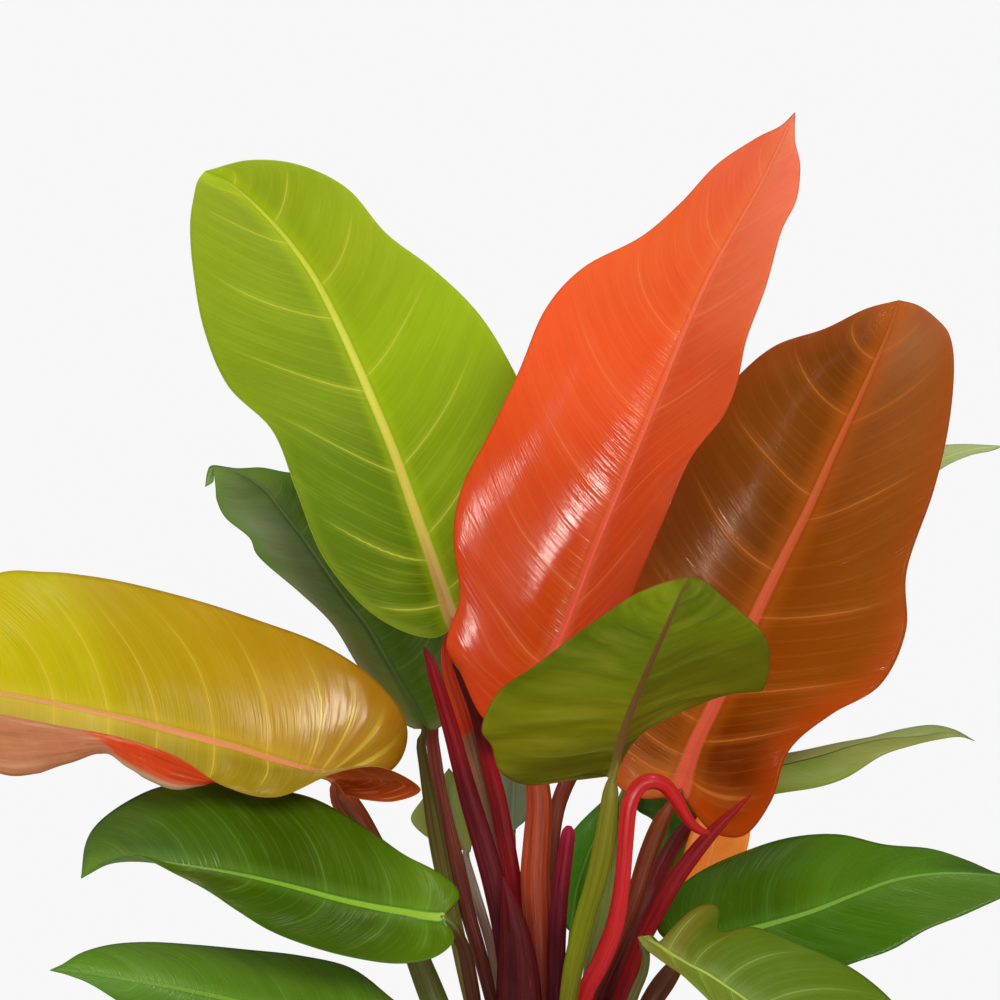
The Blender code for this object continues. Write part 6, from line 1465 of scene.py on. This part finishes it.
seed = 100
for name in list(LEAVES) + list(ARCHED):
    seed += 1
    spec = LEAVES.get(name) or ARCHED[name]
    ns, nh = SIZES.get(name, (60, 12) if spec.get("small") else (90, 18))
    small = spec.get("small")
    mesh, count = fine_blade(name, spec, ns, nh, seed, quilt=LOOKS[name].get("quilt", 0.15 if small else 0.30), ripple=LOOKS[name].get("ripple", 0.25 if small else 0.6), rib_height=0.6 if small else 1.5)
    obj = new_object(name + "_leaf", mesh, leaf_material(name + "_skin", count, LOOKS[name]))
    finish_piece(obj, [name])

for i, (name, (leaf, stops, dark, light, amount)) in enumerate(STEMS.items()):
    small = (LEAVES.get(leaf) or ARCHED[leaf]).get("small")
    mesh = fine_stem(name, PETIOLES[name], leaf, rings=72, sides=24, seed=200 + i)
    obj = new_object(name + "_stalk", mesh, stem_material(name + "_skin", stops, dark, light, streak=amount))
    finish_piece(obj, [name])

for i, (name, (stops, dark, light, amount)) in enumerate(SKINS.items()):
    mesh = fine_sheath(name, SHEATHS[name], seed=300 + i, ribs=0.05)
    obj = new_object(name + "_skin", mesh, stem_material(name + "_skin", stops, dark, light, rough=0.44, streak=amount, specular=0.18, tint=(1.0, 0.72, 0.70)))
    finish_piece(obj, [name])

mesh = fine_stem("stipule_loop", LOOP, None, rings=140, sides=28, channel=0.22, ribs=0.03, seed=77)
obj = new_object("stipule_loop_skin", mesh, stem_material("stipule_skin", [(0.0, "#c81c20"), (0.15, "#e41c1e"), (0.4, "#e4202a"), (0.6, "#d81c22"), (0.74, "#b81418"), (1.0, "#8a1418")],
                 "#98060c", "#f46a5c", rough=0.30, streak=0.4, coat=0.12, specular=0.45, tint=(1.0, 0.80, 0.76), bump=0.2))
finish_piece(obj, ["stipule_loop"])

obj = new_object("crown_stem", fine_crown(), stem_material("crown_skin", [(0.0, "#4a3826"), (0.4, "#6a5438"), (0.8, "#6a4a34"), (1.0, "#5a2c24")], "#24160c", "#9a8058",
                 rough=0.6, streak=0.6, coat=0.0, bump=0.8))
finish_piece(obj, ["crown"])

mix_mat = soil_material()
ground, chips = fine_soil()
obj = new_object("potting_mix_body", ground, mix_mat)
finish_piece(obj, ["soil"])
obj = new_object("potting_mix_chips", chips, mix_mat)
finish_piece(obj, [])
obj = fine_pot()
obj.data.materials.clear()
obj.data.materials.append(clay_material())
finish_piece(obj, ["pot"])


# ---------------------------------------------------------------- studio
def studio():
    """A round pale floor; toward its rim it takes on the even brightness of the background."""
    steps, verts, faces = 128, [(0.0, 0.0, -0.0002)], []
    radii = np.linspace(0.0, 1.12, 29)[1:]
    for r in radii:
        for i in range(steps):
            a = 2 * math.pi * i / steps
            verts.append((r * math.cos(a), r * math.sin(a), -0.0002))
    for i in range(steps):
        faces.append((0, 1 + i, 1 + (i + 1) % steps))
    for k in range(len(radii) - 1):
        for i in range(steps):
            j = (i + 1) % steps
            faces.append((1 + k * steps + i, 1 + (k + 1) * steps + i, 1 + (k + 1) * steps + j, 1 + k * steps + j))
    mesh = build_mesh("studio_floor", verts, faces)
    t = Tree("studio_paper")
    sep = t.node("ShaderNodeSeparateXYZ")
    t.put(sep.inputs[0], t.object_coords())
    r = t.math("SQRT", t.math("ADD", t.math("POWER", sep.outputs[0], 2.0), t.math("POWER", sep.outputs[1], 2.0)))
    glow = t.node("ShaderNodeEmission")
    glow.inputs["Color"].default_value = (1.0, 1.0, 1.0, 1.0)
    glow.inputs["Strength"].default_value = BACKGROUND
    join = t.node("ShaderNodeMixShader")
    t.put(join.inputs[0], t.step(r, 0.45, 1.05))
    t.put(join.inputs[1], t.bsdf.outputs[0])
    t.put(join.inputs[2], glow.outputs[0])
    t.put(t.nt.nodes["Material Output"].inputs["Surface"], join.outputs[0])
    t.bsdf.inputs["Base Color"].default_value = rgb("#eeeeed")
    t.bsdf.inputs["Roughness"].default_value = 0.9
    t.bsdf.inputs["Specular IOR Level"].default_value = 0.1
    obj = new_object("studio_floor", mesh, t.mat)
    obj.visible_glossy = False


BACKGROUND = 0.935
studio()
world = bpy.data.worlds.new("studio")
bpy.context.scene.world = world
world.use_nodes = True
tree = world.node_tree
seen = tree.nodes["Background"]
seen.inputs["Color"].default_value = (1.0, 1.0, 1.0, 1.0)
seen.inputs["Strength"].default_value = BACKGROUND
room = tree.nodes.new("ShaderNodeBackground")
room.inputs["Color"].default_value = (1.0, 1.0, 1.0, 1.0)
room.inputs["Strength"].default_value = 0.34
pick = tree.nodes.new("ShaderNodeMixShader")
rays = tree.nodes.new("ShaderNodeLightPath")
soften = tree.nodes.new("ShaderNodeMath")
soften.operation = "MULTIPLY_ADD"
tree.links.new(rays.outputs["Is Glossy Ray"], soften.inputs[0])
soften.inputs[1].default_value = -0.50
soften.inputs[2].default_value = 0.56
tree.links.new(soften.outputs[0], room.inputs["Strength"])
tree.links.new(rays.outputs["Is Camera Ray"], pick.inputs[0])
tree.links.new(room.outputs[0], pick.inputs[1])
tree.links.new(seen.outputs[0], pick.inputs[2])
tree.links.new(pick.outputs[0], tree.nodes["World Output"].inputs["Surface"])


def softbox(name, azimuth, elevation, distance, size, power, color=(1, 1, 1), diffuse=True, glossy=True, target=(0, 0, 0.42)):
    """Area light seen from the target at an azimuth (0 is the front, + to the right) and elevation."""
    az, el = math.radians(azimuth), math.radians(elevation)
    location = Vector(target) + distance * Vector((math.sin(az) * math.cos(el), -math.cos(az) * math.cos(el), math.sin(el)))
    light = bpy.data.lights.new(name, "AREA")
    light.shape = "RECTANGLE"
    light.size, light.size_y = size
    light.energy = power
    light.color = color
    obj = bpy.data.objects.new(name, light)
    obj.location = location
    obj.rotation_euler = (Vector(target) - location).to_track_quat("-Z", "Y").to_euler()
    obj.visible_camera = False
    obj.visible_diffuse = diffuse
    obj.visible_glossy = glossy
    bpy.context.scene.collection.objects.link(obj)
    return obj


softbox("key", 18, 38, 2.6, (1.3, 1.3), 30.0, (1.0, 0.98, 0.95), glossy=False)
softbox("fill", -50, 22, 2.5, (1.5, 1.5), 12.0, (0.98, 0.99, 1.0), glossy=False)
softbox("top", 170, 74, 2.0, (1.3, 1.3), 10.0, glossy=False)
softbox("sheen_near", 13, -4, 1.9, (0.15, 0.24), 9.5, (1.0, 0.97, 0.94), diffuse=False)
softbox("sheen_far", 37, 9, 1.9, (0.14, 0.14), 2.5, (1.0, 0.95, 0.88), diffuse=False)
softbox("sheen_base", 2, -11, 1.7, (0.14, 0.10), 2.0, (1.0, 0.96, 0.92), diffuse=False)
softbox("sheen_side", -16, 9, 1.9, (0.14, 0.12), 2.2, diffuse=False)
softbox("sheen_high", 53, 55, 1.9, (0.28, 0.36), 9.0, (1.0, 0.97, 0.92), diffuse=False)
softbox("sheen_top", 175, 83, 1.9, (0.30, 0.30), 3.5, diffuse=False)

camera = bpy.data.cameras.new("camera")
camera.sensor_width = 36.0
camera.lens = 162.0
camera.clip_start, camera.clip_end = 0.05, 40.0
cam = bpy.data.objects.new("camera", camera)
bpy.context.scene.collection.objects.link(cam)
c, s = math.cos(SHEET_TILT), math.sin(SHEET_TILT)
cam.location = (SHEET_CENTRE[0], SHEET_CENTRE[1] - SHEET_DISTANCE * c, SHEET_CENTRE[2] + SHEET_DISTANCE * s)
cam.rotation_euler = (math.pi / 2 - SHEET_TILT, 0.0, 0.0)
bpy.context.scene.camera = cam
bpy.context.scene.view_settings.view_transform = "Standard"
